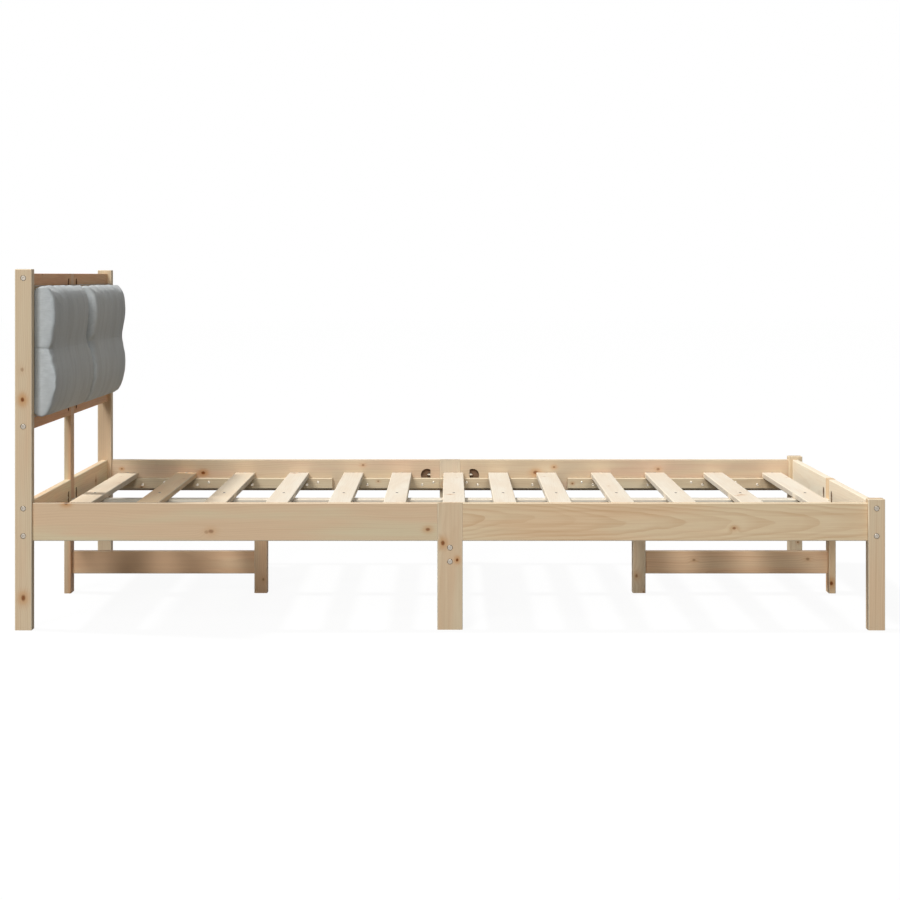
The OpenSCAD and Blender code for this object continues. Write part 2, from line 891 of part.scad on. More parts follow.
head_post(left);  // head_post_left
head_post(right);  // head_post_right
head_centre_post();
headboard_top_rail(left);  // headboard_top_rail_left
headboard_top_rail(right);  // headboard_top_rail_right
headboard_low_rail(left);  // headboard_low_rail_left
headboard_low_rail(right);  // headboard_low_rail_right
bed_end_rail(head, left);  // head_rail_left
bed_end_rail(head, right);  // head_rail_right
foot_post(left);  // foot_post_left
foot_post(right);  // foot_post_right
foot_centre_leg();
bed_end_rail(foot, left);  // foot_rail_left
bed_end_rail(foot, right);  // foot_rail_right
side_rail(head, left);  // side_rail_left_head
side_rail(foot, left);  // side_rail_left_foot
side_rail(head, right);  // side_rail_right_head
side_rail(foot, right);  // side_rail_right_foot
side_leg(left);  // side_leg_left
side_leg(right);  // side_leg_right
leg_block(left);  // leg_block_left
leg_block(right);  // leg_block_right
ledger(left, 1);  // ledger_left_1
ledger(left, 2);  // ledger_left_2
ledger(left, 3);  // ledger_left_3
ledger(left, 4);  // ledger_left_4
ledger(right, 1);  // ledger_right_1
ledger(right, 2);  // ledger_right_2
ledger(right, 3);  // ledger_right_3
ledger(right, 4);  // ledger_right_4
cross_beam();
centre_beam(head);  // centre_beam_head
centre_beam(foot);  // centre_beam_foot
centre_leg(head);  // centre_leg_head
centre_leg(foot);  // centre_leg_foot
stretcher(head);  // stretcher_head
stretcher(foot);  // stretcher_foot
slat(1);  // slat_01
slat(2);  // slat_02
slat(3);  // slat_03
slat(4);  // slat_04
slat(5);  // slat_05
slat(6);  // slat_06
slat(7);  // slat_07
slat(8);  // slat_08
slat(9);  // slat_09
slat(10);  // slat_10
slat(11);  // slat_11
slat(12);  // slat_12
slat(13);  // slat_13
back_board(left);  // back_board_left
back_board(right);  // back_board_right
cushion(left);  // cushion_left
cushion(right);  // cushion_right
frame_bolts();
threaded_inserts();
joint_rods();
dowels();
wood_screws();
board_screws();
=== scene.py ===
# %% [markdown]
# A pine bed frame with a cushioned headboard, dressed for a studio picture.
# The timber comes from the construction model as it is, and this lesson gives
# it a finish: growth rings, fibres and knots. The soft and small pieces, which
# are the cushions, screws, bolts, rods, staples and stitches, are made here.

# %% Load the construction model
import math
import random

import bmesh
import bpy
import numpy as np
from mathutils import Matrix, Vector
from mathutils.bvhtree import BVHTree


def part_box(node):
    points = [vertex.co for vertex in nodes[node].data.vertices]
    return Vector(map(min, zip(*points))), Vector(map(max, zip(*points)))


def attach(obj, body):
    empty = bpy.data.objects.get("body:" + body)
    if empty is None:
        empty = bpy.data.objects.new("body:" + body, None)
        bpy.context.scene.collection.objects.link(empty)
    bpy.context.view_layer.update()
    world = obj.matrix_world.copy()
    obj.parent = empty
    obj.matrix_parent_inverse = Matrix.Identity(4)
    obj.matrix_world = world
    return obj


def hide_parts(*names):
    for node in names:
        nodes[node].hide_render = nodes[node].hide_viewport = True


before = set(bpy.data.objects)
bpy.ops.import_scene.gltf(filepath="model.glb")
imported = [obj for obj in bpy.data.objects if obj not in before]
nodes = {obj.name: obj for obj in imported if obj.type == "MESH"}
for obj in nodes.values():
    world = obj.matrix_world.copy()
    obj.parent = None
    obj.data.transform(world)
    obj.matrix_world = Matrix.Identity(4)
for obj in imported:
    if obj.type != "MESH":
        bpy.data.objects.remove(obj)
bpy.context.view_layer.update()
MM = 0.001
print("construction nodes:", len(nodes))

# %% [markdown]
# The camera comes first, because everything else is judged through it. The
# photograph looks squarely at the bed's left side from a little under seven
# metres off its middle, at the height of the headboard's top. The lens stays
# level, and a vertical shift brings the bed down to the middle of the picture,
# which keeps every post upright.

# %% Camera
SENSOR = 36.0
EYE = (0.0, -6.7435, 0.8389)
# In pixels: the picture's size, the focal length and the horizon's height
PICTURE, FOCAL, HORIZON = 900, 2548.8, 275.0

lens = bpy.data.cameras.new("side_view")
lens.sensor_width = SENSOR
lens.lens = FOCAL / PICTURE * SENSOR
lens.shift_y = (HORIZON - PICTURE / 2) / PICTURE
camera = bpy.data.objects.new("side_view", lens)
camera.location = EYE
camera.rotation_euler = (math.pi / 2, 0, 0)
bpy.context.scene.collection.objects.link(camera)
bpy.context.scene.camera = camera
print("lens", round(lens.lens, 2), "shift", round(lens.shift_y, 4))

# %% [markdown]
# Materials and Geometry Nodes are small programs. Written node by node they
# hide their arithmetic, so a Wire stands for a socket and takes part in plain
# Python sums: each operator adds the Math node that does it.

# %% Wires
def operator(operation, turned=False):
    """A Python operator that adds a Math node, with its two values in turn."""
    def work(wire, other):
        return wire.math(operation, *((other, wire) if turned else (wire, other)))

    return work


class Wire:
    """A node's output that can be added, multiplied and compared."""

    def __init__(self, tree, socket):
        self.tree = tree
        self.socket = socket

    def math(self, operation, *values):
        sockets = dict(enumerate(values or (self,)))
        return self.tree.node("ShaderNodeMath", {"operation": operation}, sockets)

    def other(self, name):
        """Another output of the node that this wire comes from."""
        return Wire(self.tree, self.socket.node.outputs[name])

    __add__, __radd__ = operator("ADD"), operator("ADD", turned=True)
    __sub__, __rsub__ = operator("SUBTRACT"), operator("SUBTRACT", turned=True)
    __mul__, __rmul__ = operator("MULTIPLY"), operator("MULTIPLY", turned=True)
    __truediv__, __rtruediv__ = operator("DIVIDE"), operator("DIVIDE", turned=True)
    __pow__, most = operator("POWER"), operator("MAXIMUM")


print("wires ready")

# %% [markdown]
# A Tree adds any other node through one method, node(): its kind, its
# settings, then its sockets, and add() is the same call with the sockets by
# name. A Finish is a tree that becomes a material. It reads the surface's own
# place in the model, in metres, so that a pattern runs through a board as
# grain does, with no unwrapping.

# %% Trees
class Tree:
    """Adds nodes to a node tree and links them."""

    family = "ShaderNode"

    def __init__(self, group):
        self.group = group

    def node(self, kind, settings=None, sockets=None, out=0):
        made = self.group.nodes.new(kind)
        for name, value in (settings or {}).items():
            if name == "items":
                for _ in range(value - len(made.index_switch_items)):
                    made.index_switch_items.new()
            else:
                setattr(made, name, value)
        for name, value in (sockets or {}).items():
            for part in value if isinstance(value, list) else [value]:
                if isinstance(part, Wire):
                    self.group.links.new(part.socket, made.inputs[name])
                else:
                    made.inputs[name].default_value = part
        return Wire(self, made.outputs[out]) if len(made.outputs) else None

    def add(self, kind, settings=None, **sockets):
        """A node of the tree's own family, with its sockets by their names."""
        named = {title.replace("_", " "): value for title, value in sockets.items()}
        return self.node(self.family + kind, settings, named)

    def vector(self, x, y, z):
        return self.node("ShaderNodeCombineXYZ", sockets={0: x, 1: y, 2: z})


class Finish(Tree):
    """One material under construction."""

    def __init__(self, name):
        self.material = bpy.data.materials.new(name)
        self.material.use_nodes = True
        super().__init__(self.material.node_tree)
        self.group.nodes.clear()

    def place(self):
        """The surface's point in the frame's own metres, axis by axis."""
        point = self.node("ShaderNodeTexCoord", out="Object")
        x = self.node("ShaderNodeSeparateXYZ", sockets={0: point})
        return x, x.other("Y"), x.other("Z")

    def facing(self, axis):
        """How squarely the surface faces along an axis, from 0 to 1."""
        normal = self.node("ShaderNodeNewGeometry", out="Normal")
        parts = self.node("ShaderNodeSeparateXYZ", sockets={0: normal}, out=axis.upper())
        return parts.math("ABSOLUTE")

    def noise(self, x, y, z, detail=2.0, roughness=0.5):
        point = self.vector(x, y, z)
        return self.add("TexNoise", Vector=point, Scale=1.0, Detail=detail, Roughness=roughness)

    def mix(self, share, low, high):
        return self.node("ShaderNodeMix", {"data_type": "RGBA"}, {0: share, 6: low, 7: high}, out=2)

    def smooth(self, value, low, high):
        """Rises softly from 0 to 1 while the value goes from low to high."""
        settings = {"interpolation_type": "SMOOTHSTEP"}
        return self.add("MapRange", settings, Value=value, From_Min=low, From_Max=high)

    def bump(self, height, strength, depth):
        return self.add("Bump", Strength=strength, Distance=depth, Height=height)

    def surface(self, **sockets):
        """Ends the material in a Principled shader with these sockets."""
        return self.end(self.add("BsdfPrincipled", **sockets))

    def end(self, shader):
        self.add("OutputMaterial", Surface=shader)
        return self.material


def screen(red, green, blue):
    """A colour as a screen shows it, 0 to 255, in the linear light that mixes."""
    def linear(value):
        share = value / 255
        return share / 12.92 if share <= 0.04045 else ((share + 0.055) / 1.055) ** 2.4

    return (linear(red), linear(green), linear(blue), 1.0)


print("trees ready")

# %% [markdown]
# Pine is cut from a trunk, so its figure is the trunk's growth rings sliced by
# the board's faces. It could be painted as streaks, but streaks don't turn into
# arcs on an end face. Here each board has its own pith line somewhere beside
# it, a wandering distance from that line is divided into rings, and each ring
# runs from pale early wood to a thin line of late wood.

# %% Growth rings
RING = 5.2 * MM
WANDER, RIPPLE = 50 * MM, 12 * MM


def rings(wood, along, across, through, pith, seed, slope, bulge):
    """The late wood at a point, from none to all, stronger in some years."""
    sway = wood.noise(along * 1.7 + seed * 3.1, across * 5.0 + seed, through * 5.0)
    wave = wood.noise(along * 6.0 + seed, across * 9.0, through * 9.0 + seed, detail=3.0)
    wide = across - pith[0] + (sway - 0.5) * WANDER
    deep = through - pith[1] + (wave - 0.5) * RIPPLE
    turns = ((wide * wide + deep * deep) ** 0.5 + along * slope + bulge) / RING
    share = turns.math("FRACT")
    late = wood.smooth(share, 0.30, 0.92) * (1.0 - wood.smooth(share, 0.94, 1.0))
    year = turns.math("FLOOR")
    strong = wood.noise(year * 0.73 + seed, along * 1.3, 0.0, detail=1.0)
    return late * (wood.smooth(strong, 0.3, 0.75) * 0.8 + 0.2)


print("rings", RING / MM, "mm apart")

# %% [markdown]
# A knot is a branch that the trunk has grown around. It passes through the
# board, its own middle is dark and reddish, and the rings bend round it. Each
# knot is a place along and across the board, a radius and a darkness.

# %% Knots
KNOT_LENGTH, KNOT_RAGGED = 1.35, 0.7
BEND_REACH, BEND_SHARE = 4.2, 0.9


def knot_fields(wood, along, across, knots, seed):
    """The knots' cores, their halos and how far they push the rings aside."""
    core, halo, push = 0.0, 0.0, 0.0
    ragged = wood.noise(along * 90.0, across * 90.0, seed, detail=2.0) - 0.5
    for place, height, radius, dark in knots:
        run = (along - place * MM) / (radius * MM * KNOT_LENGTH)
        rise = (across - height * MM) / (radius * MM)
        away = (run * run + rise * rise) ** 0.5 + ragged * KNOT_RAGGED
        near = (1.0 - wood.smooth(away, 0.35, 1.0)) * dark
        wide = 1.0 - wood.smooth(away, 0.6, BEND_REACH)
        core = core.most(near) if isinstance(core, Wire) else near
        halo = halo.most(wide * dark) if isinstance(halo, Wire) else wide * dark
        push = wide * (radius * MM * BEND_SHARE) + push
    return core, halo, push


print("a knot bends the rings as far as", BEND_REACH, "times its radius")

# %% [markdown]
# A half rail has a half-moon pocket for its nut. Its wall is painted darker,
# as painted shade inside the recess, found by the distance from the pocket's
# middle and by the depth under the rail's inner face.

# %% Pockets
POCKET_PLACE = 67 * MM
POCKET_REACH = 18.6 * MM
POCKET_DEPTH = 16.0 * MM
# The colour of the painted shade inside the pockets.
POCKET_SHADE = screen(112, 76, 48)


def pocket_of(node, low, high):
    """The pocket of a half rail: its places along and across, and its face."""
    if "_rail_" not in node:
        return None
    inward = 1 if high[0] > 100 * MM else -1
    level = (low[1] + high[1]) / 2
    return inward * POCKET_PLACE, level, min(abs(low[2]), abs(high[2]))


def sawn_wall(wood, along, across, through, pocket):
    """Where a rail's surface lies inside its pocket, for the painted shade there."""
    place, height, face = pocket
    run, rise = along - place, across - height
    away = (run * run + rise * rise) ** 0.5
    depth = through.math("ABSOLUTE") - face
    below = 1.0 - wood.smooth(depth, POCKET_DEPTH, POCKET_DEPTH + 0.6 * MM)
    inside = 1.0 - wood.smooth(away, POCKET_REACH, POCKET_REACH + 1 * MM)
    return wood.smooth(depth, 0.3 * MM, 2.0 * MM) * below * inside


print("pockets reach", POCKET_REACH / MM, "mm round the rod")

# %% [markdown]
# One finish then puts a board together: pale and blushing patches, late wood,
# streaks and fibres, knots, a painted highlight on eased edges and darker end
# grain. Three more things belong to some boards only: painted shade inside a
# pocket, a pale back behind a front painted warmer, partly as painted warm
# shade, and painted highlight bands along the long edges of posts and legs.

# %% Pine
RED_KNOT, DARK_KNOT = screen(156, 92, 42), screen(86, 46, 16)
KNOT_HALO = screen(204, 148, 92)
# A pale colour painted on eased edges and along edge bands: a painted highlight.
EDGE_HIGHLIGHT = screen(250, 238, 212)
LATE_SHARE, STREAK_SHARE, FIBRE_SHARE = 0.44, 0.30, 0.55
HALO_SHARE, EDGE_HIGHLIGHT_SHARE, BAND_HIGHLIGHT_SHARE = 0.75, 0.6, 0.35
END_SHARE, POCKET_SHADE_SHARE = 0.35, 0.85
# The pale back of the headboard's boards, and the tone of a few other boards.
PALE_PINE = (screen(222, 206, 172), screen(188, 148, 106), screen(225, 196, 162))


def worn_edge(wood, across, axis, centre, half):
    """Painted highlight bands along the long edges of a board's broad faces."""
    edge = wood.smooth((across - centre).math("ABSOLUTE"), half - 2.8 * MM, half - 1.0 * MM)
    return edge * wood.smooth(wood.facing(axis), 0.7, 0.95)


def pine(name, axes, tones, contrast, pith, slope, seed, knots, lean, pocket, warm_front_span, highlight_band):
    """A board's finish. axes are its length, width and thickness, tones its pale,
    dark and blushing colours, pith the place of the trunk's middle across it.
    lean favours the blush, by itself and by the height over a middle."""
    wood = Finish(name)
    place = dict(zip("xyz", wood.place()))
    along, across, through = (place[axis] for axis in axes)
    core, halo, push = knot_fields(wood, along, across, knots, seed)
    late = rings(wood, along, across, through, pith, seed, slope, push)
    fibre = wood.noise(along * 12.0, across * 620.0, through * 620.0 + seed, 3.0, 0.6)
    streak = wood.noise(along * 3.0 + seed, across * 130.0, through * 130.0, 2.0, 0.6)
    patch = wood.noise(along * 1.9 + seed * 7.0, across * 15.0 + seed, through * 15.0, 3.0)
    # The headboard's boards and the head centre post are painted warmer towards their front, which faces
    # away from the key: partly their tone, partly painted warm shade.
    if warm_front_span:
        warm_front = wood.smooth(place["x"], *warm_front_span)
        tones = [wood.mix(warm_front, sap, tone) for sap, tone in zip(PALE_PINE, tones)]
    pale, dark, blush = tones
    bias, tilt, middle = lean
    patch = patch + bias + (across - middle) * tilt
    colour = wood.mix(wood.smooth(patch, 0.38, 0.60), pale, blush)
    colour = wood.mix(late * LATE_SHARE * contrast, colour, dark)
    colour = wood.mix(wood.smooth(streak, 0.35, 0.85) * STREAK_SHARE * contrast, colour, dark)
    colour = wood.mix((fibre - 0.42) * FIBRE_SHARE * contrast, colour, dark)
    if knots:
        colour = wood.mix(halo * halo * HALO_SHARE, colour, KNOT_HALO)
        colour = wood.mix(core, colour, wood.mix(fibre, DARK_KNOT, RED_KNOT))
    # Eased edges get a painted highlight, except on boards with a warm front.
    square = wood.facing("x").most(wood.facing("y")).most(wood.facing("z"))
    eased = 1.0 - wood.smooth(square, 0.90, 0.995)
    colour = wood.mix(eased * (0.0 if warm_front_span else EDGE_HIGHLIGHT_SHARE), colour, EDGE_HIGHLIGHT)
    # Posts and legs get painted highlight bands along their long edges.
    if highlight_band:
        colour = wood.mix(worn_edge(wood, across, axes[2], *highlight_band) * BAND_HIGHLIGHT_SHARE, colour, EDGE_HIGHLIGHT)
    end = wood.smooth(wood.facing(axes[0]), 0.7, 0.98)
    colour = wood.mix(end * END_SHARE, colour, dark)
    # Painted shade inside the pocket.
    if pocket:
        colour = wood.mix(sawn_wall(wood, along, across, through, pocket) * POCKET_SHADE_SHARE, colour, POCKET_SHADE)
    return wood.surface(
        Base_Color=colour,
        Roughness=0.60 - late * 0.10 + fibre * 0.12,
        Normal=wood.bump(late * 0.4 + fibre * 0.6, 0.22, 0.5 * MM),
        Specular_IOR_Level=0.18,
    )


print("pine finish ready")

# %% [markdown]
# One table says how the boards of each kind lie, which tones they have and how
# strong their figure is. The slats are the palest and the headboard's boards
# the warmest, partly as painted warm shade, and single boards that stand out in
# the photograph have a row of their own above their kind's. The second slat's
# row is painted warm light in the headboard's shadow, and the pieces under the
# bed are made paler, partly as painted light.

# %% Board kinds
def shades(pale, dark, blush):
    return screen(*pale), screen(*dark), screen(*blush)


POST = shades((226, 206, 174), (186, 150, 110), (226, 198, 164))
FAR_LEG = shades((219, 204, 180), (186, 162, 134), (218, 198, 174))
FOOT_LEG = shades((240, 214, 176), (200, 158, 114), (238, 206, 164))
# The head centre post's warm front, partly its tone, partly painted warm shade.
CENTRE = shades((224, 188, 150), (184, 138, 98), (222, 178, 138))
# Pieces under the bed get a paler, warmer tone that lifts them out of their shade: partly their tone,
# partly painted light.
LOW_WOOD = shades((238, 208, 171), (196, 150, 108), (238, 199, 160))
FOOT_SIDE = shades((232, 210, 174), (190, 140, 90), (232, 202, 164))
FAR_RAIL = shades((220, 201, 172), (184, 146, 108), (220, 192, 166))
# The warm front of the headboard's boards, partly their tone, partly painted warm shade.
HEADBOARD = shades((222, 175, 126), (180, 120, 73), (219, 160, 111))
HEAD_RAIL = shades((242, 224, 186), (204, 164, 120), (246, 214, 176))
FOOT_RAIL = shades((250, 240, 218), (214, 184, 148), (248, 234, 210))
LEDGER = shades((230, 214, 182), (194, 162, 124), (226, 204, 170))
BEAM = shades((226, 219, 203), (196, 176, 150), (223, 211, 194))
SLAT = shades((240, 230, 212), (210, 184, 152), (237, 223, 202))
CREAM_SLAT = shades((242, 226, 200), (210, 184, 150), (240, 220, 192))
# The second slat's tone, warmer and paler: painted warm light in the headboard's shadow.
SHADE_WARMED_SLAT = shades((254, 224, 182), (220, 180, 136), (250, 214, 170))
PLY = shades((214, 188, 150), (178, 140, 100), (208, 176, 140))

# The first row that fits counts: how a name starts, axes, tones, contrast
KINDS = [
    ("side_leg_right", "zxy", FAR_LEG, 0.5),
    ("head_post foot_post side_leg", "zxy", POST, 0.7),
    ("head_centre", "zxy", CENTRE, 0.8),
    ("foot_centre", "zxy", FOOT_LEG, 0.5),
    ("centre_leg_head", "zxy", LOW_WOOD, 0.8),
    ("centre_leg", "zxy", POST, 0.8),
    ("side_rail_left_foot", "xzy", FOOT_SIDE, 0.9),
    ("side_rail_left", "xzy", PALE_PINE, 0.4),
    ("side_rail_right", "xzy", FAR_RAIL, 0.6),
    ("headboard", "yzx", HEADBOARD, 1.0),
    ("foot_rail", "yzx", FOOT_RAIL, 0.4),
    ("head_rail", "yzx", HEAD_RAIL, 0.8),
    ("ledger leg_block", "xzy", LEDGER, 0.8),
    ("centre_beam", "xzy", BEAM, 0.3),
    ("stretcher", "xzy", LOW_WOOD, 0.8),
    ("cross_beam dowels", "yzx", PALE_PINE, 0.8),
    ("slat_02", "yxz", SHADE_WARMED_SLAT, 0.4),
    ("slat_01 slat_03", "yxz", CREAM_SLAT, 0.5),
    ("slat", "yxz", SLAT, 0.5),
    ("back_board", "yzx", PLY, 0.5),
]


def kind_of(node):
    return next((kind for kind in KINDS if node.startswith(tuple(kind[0].split()))), None)


print("kinds of board:", len(KINDS))

# %% [markdown]
# Chance gives most boards their pith and their small knots. The knots that the
# photograph shows stand at their measured places, and a few near boards are
# set one by one: the near rail's foot half is cut beside the pith, which gives it
# flames, and its head half blushes more towards its top.

# %% Boards set one by one
# Places along and across, radius in mm, darkness
KNOTS = {
    "head_post_left": [(544, -1009, 6, 1.0), (76, -1007, 7, 0.9), (615, -1010, 5, 0.45)],
    "side_rail_left_head": [
        (-908, 299, 5, 1.0), (-566, 233, 6, 0.6), (-576, 231, 5, 0.35), (-52, 237, 5, 0.8),
    ],
    "side_leg_left": [(205, -17, 6, 0.9), (165, 17, 4, 1.0)],
    "side_rail_left_foot": [(672, 240, 4, 0.7)],
    "side_rail_right_head": [(-721, 261, 6, 1.0), (-254, 284, 4, 0.6), (-958, 273, 3, 0.9)],
    "side_rail_right_foot": [(250, 262, 7, 0.8), (304, 278, 4, 0.8), (607, 272, 5, 0.6)],
    "head_rail_right": [(444, 259, 6, 1.0)],
    "foot_centre_leg": [(27, 1004, 6, 1.0)],
}

# The pith's place beside the board's middle, and how fast rings run off along it
CUTS = {
    "side_rail_left_foot": ((0.0, 0.055), 0.045),
    "side_rail_left_head": ((0.085, 0.03), 0.006),
    "side_leg_left": ((0.01, 0.06), 0.02),
}

# How much a board blushes, how fast that grows with height, and from where
LEANS = {
    "side_rail_left_head": (0.06, 2.4, 0.245),
    "side_rail_left_foot": (-0.07, 0.6, 0.255),
}
EVEN = (0, 0, 0)
print("knots set by hand:", sum(len(row) for row in KNOTS.values()))

# %% Boards
FIRST_BOARD_SEED = 11


def dress(node, material):
    """Puts one material on a construction node."""
    slots = nodes[node].data.materials
    slots.clear()
    slots.append(material)


def pith_beside(rng, middle):
    turn = rng.uniform(0, 2 * math.pi)
    reach = rng.uniform(0.045, 0.11)
    return middle[0] + reach * math.cos(turn), middle[1] + reach * math.sin(turn)


def chance_knots(rng, low, high):
    """A small knot or two anywhere on the board's width."""
    ranges = [(low[0] / MM, high[0] / MM), (low[1] / MM, high[1] / MM), (2.5, 6), (0.4, 0.9)]
    return [tuple(rng.uniform(*limits) for limits in ranges) for _ in range(rng.choice((0, 1, 1, 2)))]


def finish_board(node, kind, rng):
    """Cuts one board: its pith, rings and knots, and what only it has."""
    _, axes, tones, contrast = kind
    order = ["xyz".index(axis) for axis in axes]
    back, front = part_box(node)
    low, high = [back[i] for i in order], [front[i] for i in order]
    middle = [(low[i] + high[i]) / 2 for i in (1, 2)]
    pith, slope = pith_beside(rng, middle), rng.uniform(-0.02, 0.02)
    if node in CUTS:
        (wide, deep), slope = CUTS[node]
        pith = (middle[0] + wide, middle[1] + deep)
    knots = KNOTS.get(node) or chance_knots(rng, low, high)
    return pine(
        "pine_" + node, axes, tones, contrast, pith, slope,
        seed=rng.uniform(0, 20),
        knots=knots,
        lean=LEANS.get(node, EVEN),
        pocket=pocket_of(node, low, high),
        # The headboard's boards and the head centre post get a front painted warmer, partly as painted
        # warm shade.
        warm_front_span=(back.x + 4 * MM, front.x - 2 * MM) if tones in (HEADBOARD, CENTRE) else None,
        # Posts and legs get painted highlight bands along their long edges.
        highlight_band=(middle[0], (high[1] - low[1]) / 2) if tones in (POST, FAR_LEG) else None,
    )


boards = [(count, node) for count, node in enumerate(sorted(nodes)) if kind_of(node)]
for count, node in boards:
    dress(node, finish_board(node, kind_of(node), random.Random(count + FIRST_BOARD_SEED)))
print("boards finished:", len(boards))

# %% [markdown]
# Small steel parts are zinc plated: a pale metal with a cloudy roughness. The
# bolts are a little darker than the screws, and the screw heads above the slats
# near the bed's middle are darker still, as the photograph shows them.

# %% Zinc
DARK_HEADS_NEAR, DARK_HEADS_FAR = 300 * MM, 400 * MM
DARK_HEADS_LEVEL = 256 * MM


def plated(name, low, high, dark_heads=None):
    """Zinc plate between two tones, darker on the screw heads above the slats near the bed's middle."""
    metal = Finish(name)
    x, y, z = metal.place()
    cloud = metal.noise(x * 900.0, y * 900.0, z * 900.0, 3.0)
    colour = metal.mix(cloud, low, high)
    if dark_heads:
        away = metal.smooth(y.math("ABSOLUTE"), DARK_HEADS_NEAR, DARK_HEADS_FAR)
        raised = metal.smooth(z, DARK_HEADS_LEVEL, DARK_HEADS_LEVEL + 4 * MM)
        colour = metal.mix(raised * (1.0 - away), colour, dark_heads)
    return metal.surface(Base_Color=colour, Metallic=1.0, Roughness=0.26 + cloud * 0.20)


ZINC = plated("plated_zinc", screen(146, 137, 126), screen(186, 178, 166))
SCREW_ZINC = plated("screw_zinc", screen(196, 186, 170), screen(228, 218, 202), screen(112, 104, 96))
dress("threaded_inserts", ZINC)
print("metals finished:", ZINC.name, SCREW_ZINC.name)

# %% [markdown]
# The cushions' cloth is a plain grey weave. Its threads are far finer than a
# picture of the whole bed can show, so the finish carries them as a small bump
# and a faint change of tone, and the folds are left to the mesh.

# %% Grey weave
THREADS = 5200.0


def grey_weave():
    cloth = Finish("grey_weave")
    x, y, z = cloth.place()
    weave = (y * THREADS).math("SINE") * (z * THREADS).math("SINE")
    slub = cloth.noise(x * 60.0, y * 900.0, z * 90.0, 3.0)
    cross = cloth.noise(x * 60.0, y * 90.0, z * 900.0, 3.0)
    tone = slub * 0.5 + cross * 0.5
    cloud = cloth.noise(x * 8.0, y * 15.0, z * 4.0, 4.0, 0.6)
    colour = cloth.mix(cloth.smooth(tone, 0.3, 0.7), screen(187, 192, 193), screen(205, 210, 211))
    colour = cloth.mix(cloth.smooth(cloud, 0.4, 0.62) * 0.5, colour, screen(178, 182, 182))
    return cloth.surface(
        Base_Color=colour,
        Roughness=0.92,
        Normal=cloth.bump(weave * 0.3 + tone, 0.22, 0.5 * MM),
        Sheen_Weight=0.2,
        Sheen_Roughness=0.5,
        Specular_IOR_Level=0.25,
    )


WEAVE = grey_weave()
print("cloth finished:", WEAVE.name)

# %% [markdown]
# Each cushion is foam under a cloth cover. A channel sewn across it makes two
# long pillows, and its cloth folds round a thin board. It could be a scaled
# box with rounded edges, but stuffed cloth swells most where it is held least.
# So a slightly smaller copy of the construction solid is blown up as cloth,
# with its back and its channel held, and its finer folds are drawn afterwards.

# %% Mesh helpers
def rows_of(items, name):
    """Three numbers of every item, as rows."""
    flat = np.empty(len(items) * 3)
    items.foreach_get(name, flat)
    return flat.reshape(-1, 3)


def points_of(mesh):
    return rows_of(mesh.vertices, "co")


def place_points(mesh, points):
    mesh.vertices.foreach_set("co", np.ascontiguousarray(points, dtype=np.float64).ravel())
    mesh.update()


def pour(form, mesh):
    """Writes a form into a mesh and lets go of it."""
    form.to_mesh(mesh)
    form.free()


def show(name, mesh):
    piece = bpy.data.objects.new(name, mesh)
    bpy.context.scene.collection.objects.link(piece)
    return piece


def result_of(piece):
    """A plain mesh of what a piece's modifiers make of it."""
    return bpy.data.meshes.new_from_object(piece.evaluated_get(bpy.context.evaluated_depsgraph_get()))


def settle(piece):
    """Replaces a piece's mesh by the result of its modifiers."""
    mesh = result_of(piece)
    piece.modifiers.clear()
    piece.data = mesh
    return mesh


print("mesh helpers ready")

# %% Blown-up cloth
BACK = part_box("cushion_left")[0].x
SEAM_RISE = 663.0 * MM
VOXEL = 6.0 * MM
BLANK_SCALE = (0.88, 0.992, 0.984)
SWELL_CAP = 9.0 * MM
SEAM_GRIP = 0.5
PRESSURE = 4.0
MOMENTS = 20


def cushion_blank(node, name):
    """A smaller copy of the solid, remeshed into even squares."""
    low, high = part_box(node)
    form = bmesh.new()
    form.from_mesh(nodes[node].data)
    bmesh.ops.remove_doubles(form, verts=form.verts, dist=0.02 * MM)
    bmesh.ops.recalc_face_normals(form, faces=form.faces)
    mesh = bpy.data.meshes.new(name)
    pour(form, mesh)
    points = points_of(mesh)
    anchor = (BACK, (low.y + high.y) / 2, (low.z + high.z) / 2)
    for axis, (fixed, scale) in enumerate(zip(anchor, BLANK_SCALE)):
        points[:, axis] = fixed + (points[:, axis] - fixed) * scale
    place_points(mesh, points)
    piece = show(name, mesh)
    remesh = piece.modifiers.new("even_squares", "REMESH")
    remesh.mode = "VOXEL"
    remesh.voxel_size = VOXEL
    settle(piece)
    return piece


def blow_up(piece):
    """Stuffs the cover: pressure swells it between its sewn lines."""
    rest = points_of(piece.data)
    held = piece.vertex_groups.new(name="sewn")
    band = np.abs(rest[:, 2] - SEAM_RISE) < 0.7 * VOXEL
    backed = rest[:, 0] < BACK + 2 * MM
    for grip, rows in ((SEAM_GRIP, band & ~backed), (1.0, backed)):
        held.add([int(i) for i in np.nonzero(rows)[0]], grip, "REPLACE")
    settings = piece.modifiers.new("stuffing", "CLOTH").settings
    settings.quality = 6
    settings.use_pressure = True
    settings.uniform_pressure_force = PRESSURE
    settings.effector_weights.gravity = 0.0
    settings.vertex_group_mass = held.name
    scene = bpy.context.scene
    for moment in range(1, MOMENTS + 1):
        scene.frame_set(moment)
    mesh = settle(piece)
    moved = points_of(mesh) - rest
    length = np.linalg.norm(moved, axis=1, keepdims=True)
    capped = SWELL_CAP * np.tanh(length / SWELL_CAP)
    place_points(mesh, rest + moved * capped / np.maximum(length, 1e-9))
    scene.frame_set(1)
    print(piece.name, "swelled by up to", round(float(length.max()) / MM, 1), "mm")


print("cushions stand from x =", round(BACK / MM, 1), "mm")

# %% [markdown]
# The blown-up form is then fitted to its place. A table gives the depth of its
# section from bottom to top, as measured at the near end: two pillows with the
# sewn channel between them. The end of each cushion that faces the camera is
# cut square, and its far end slopes away softly, which opens the groove that
# shows between the two.

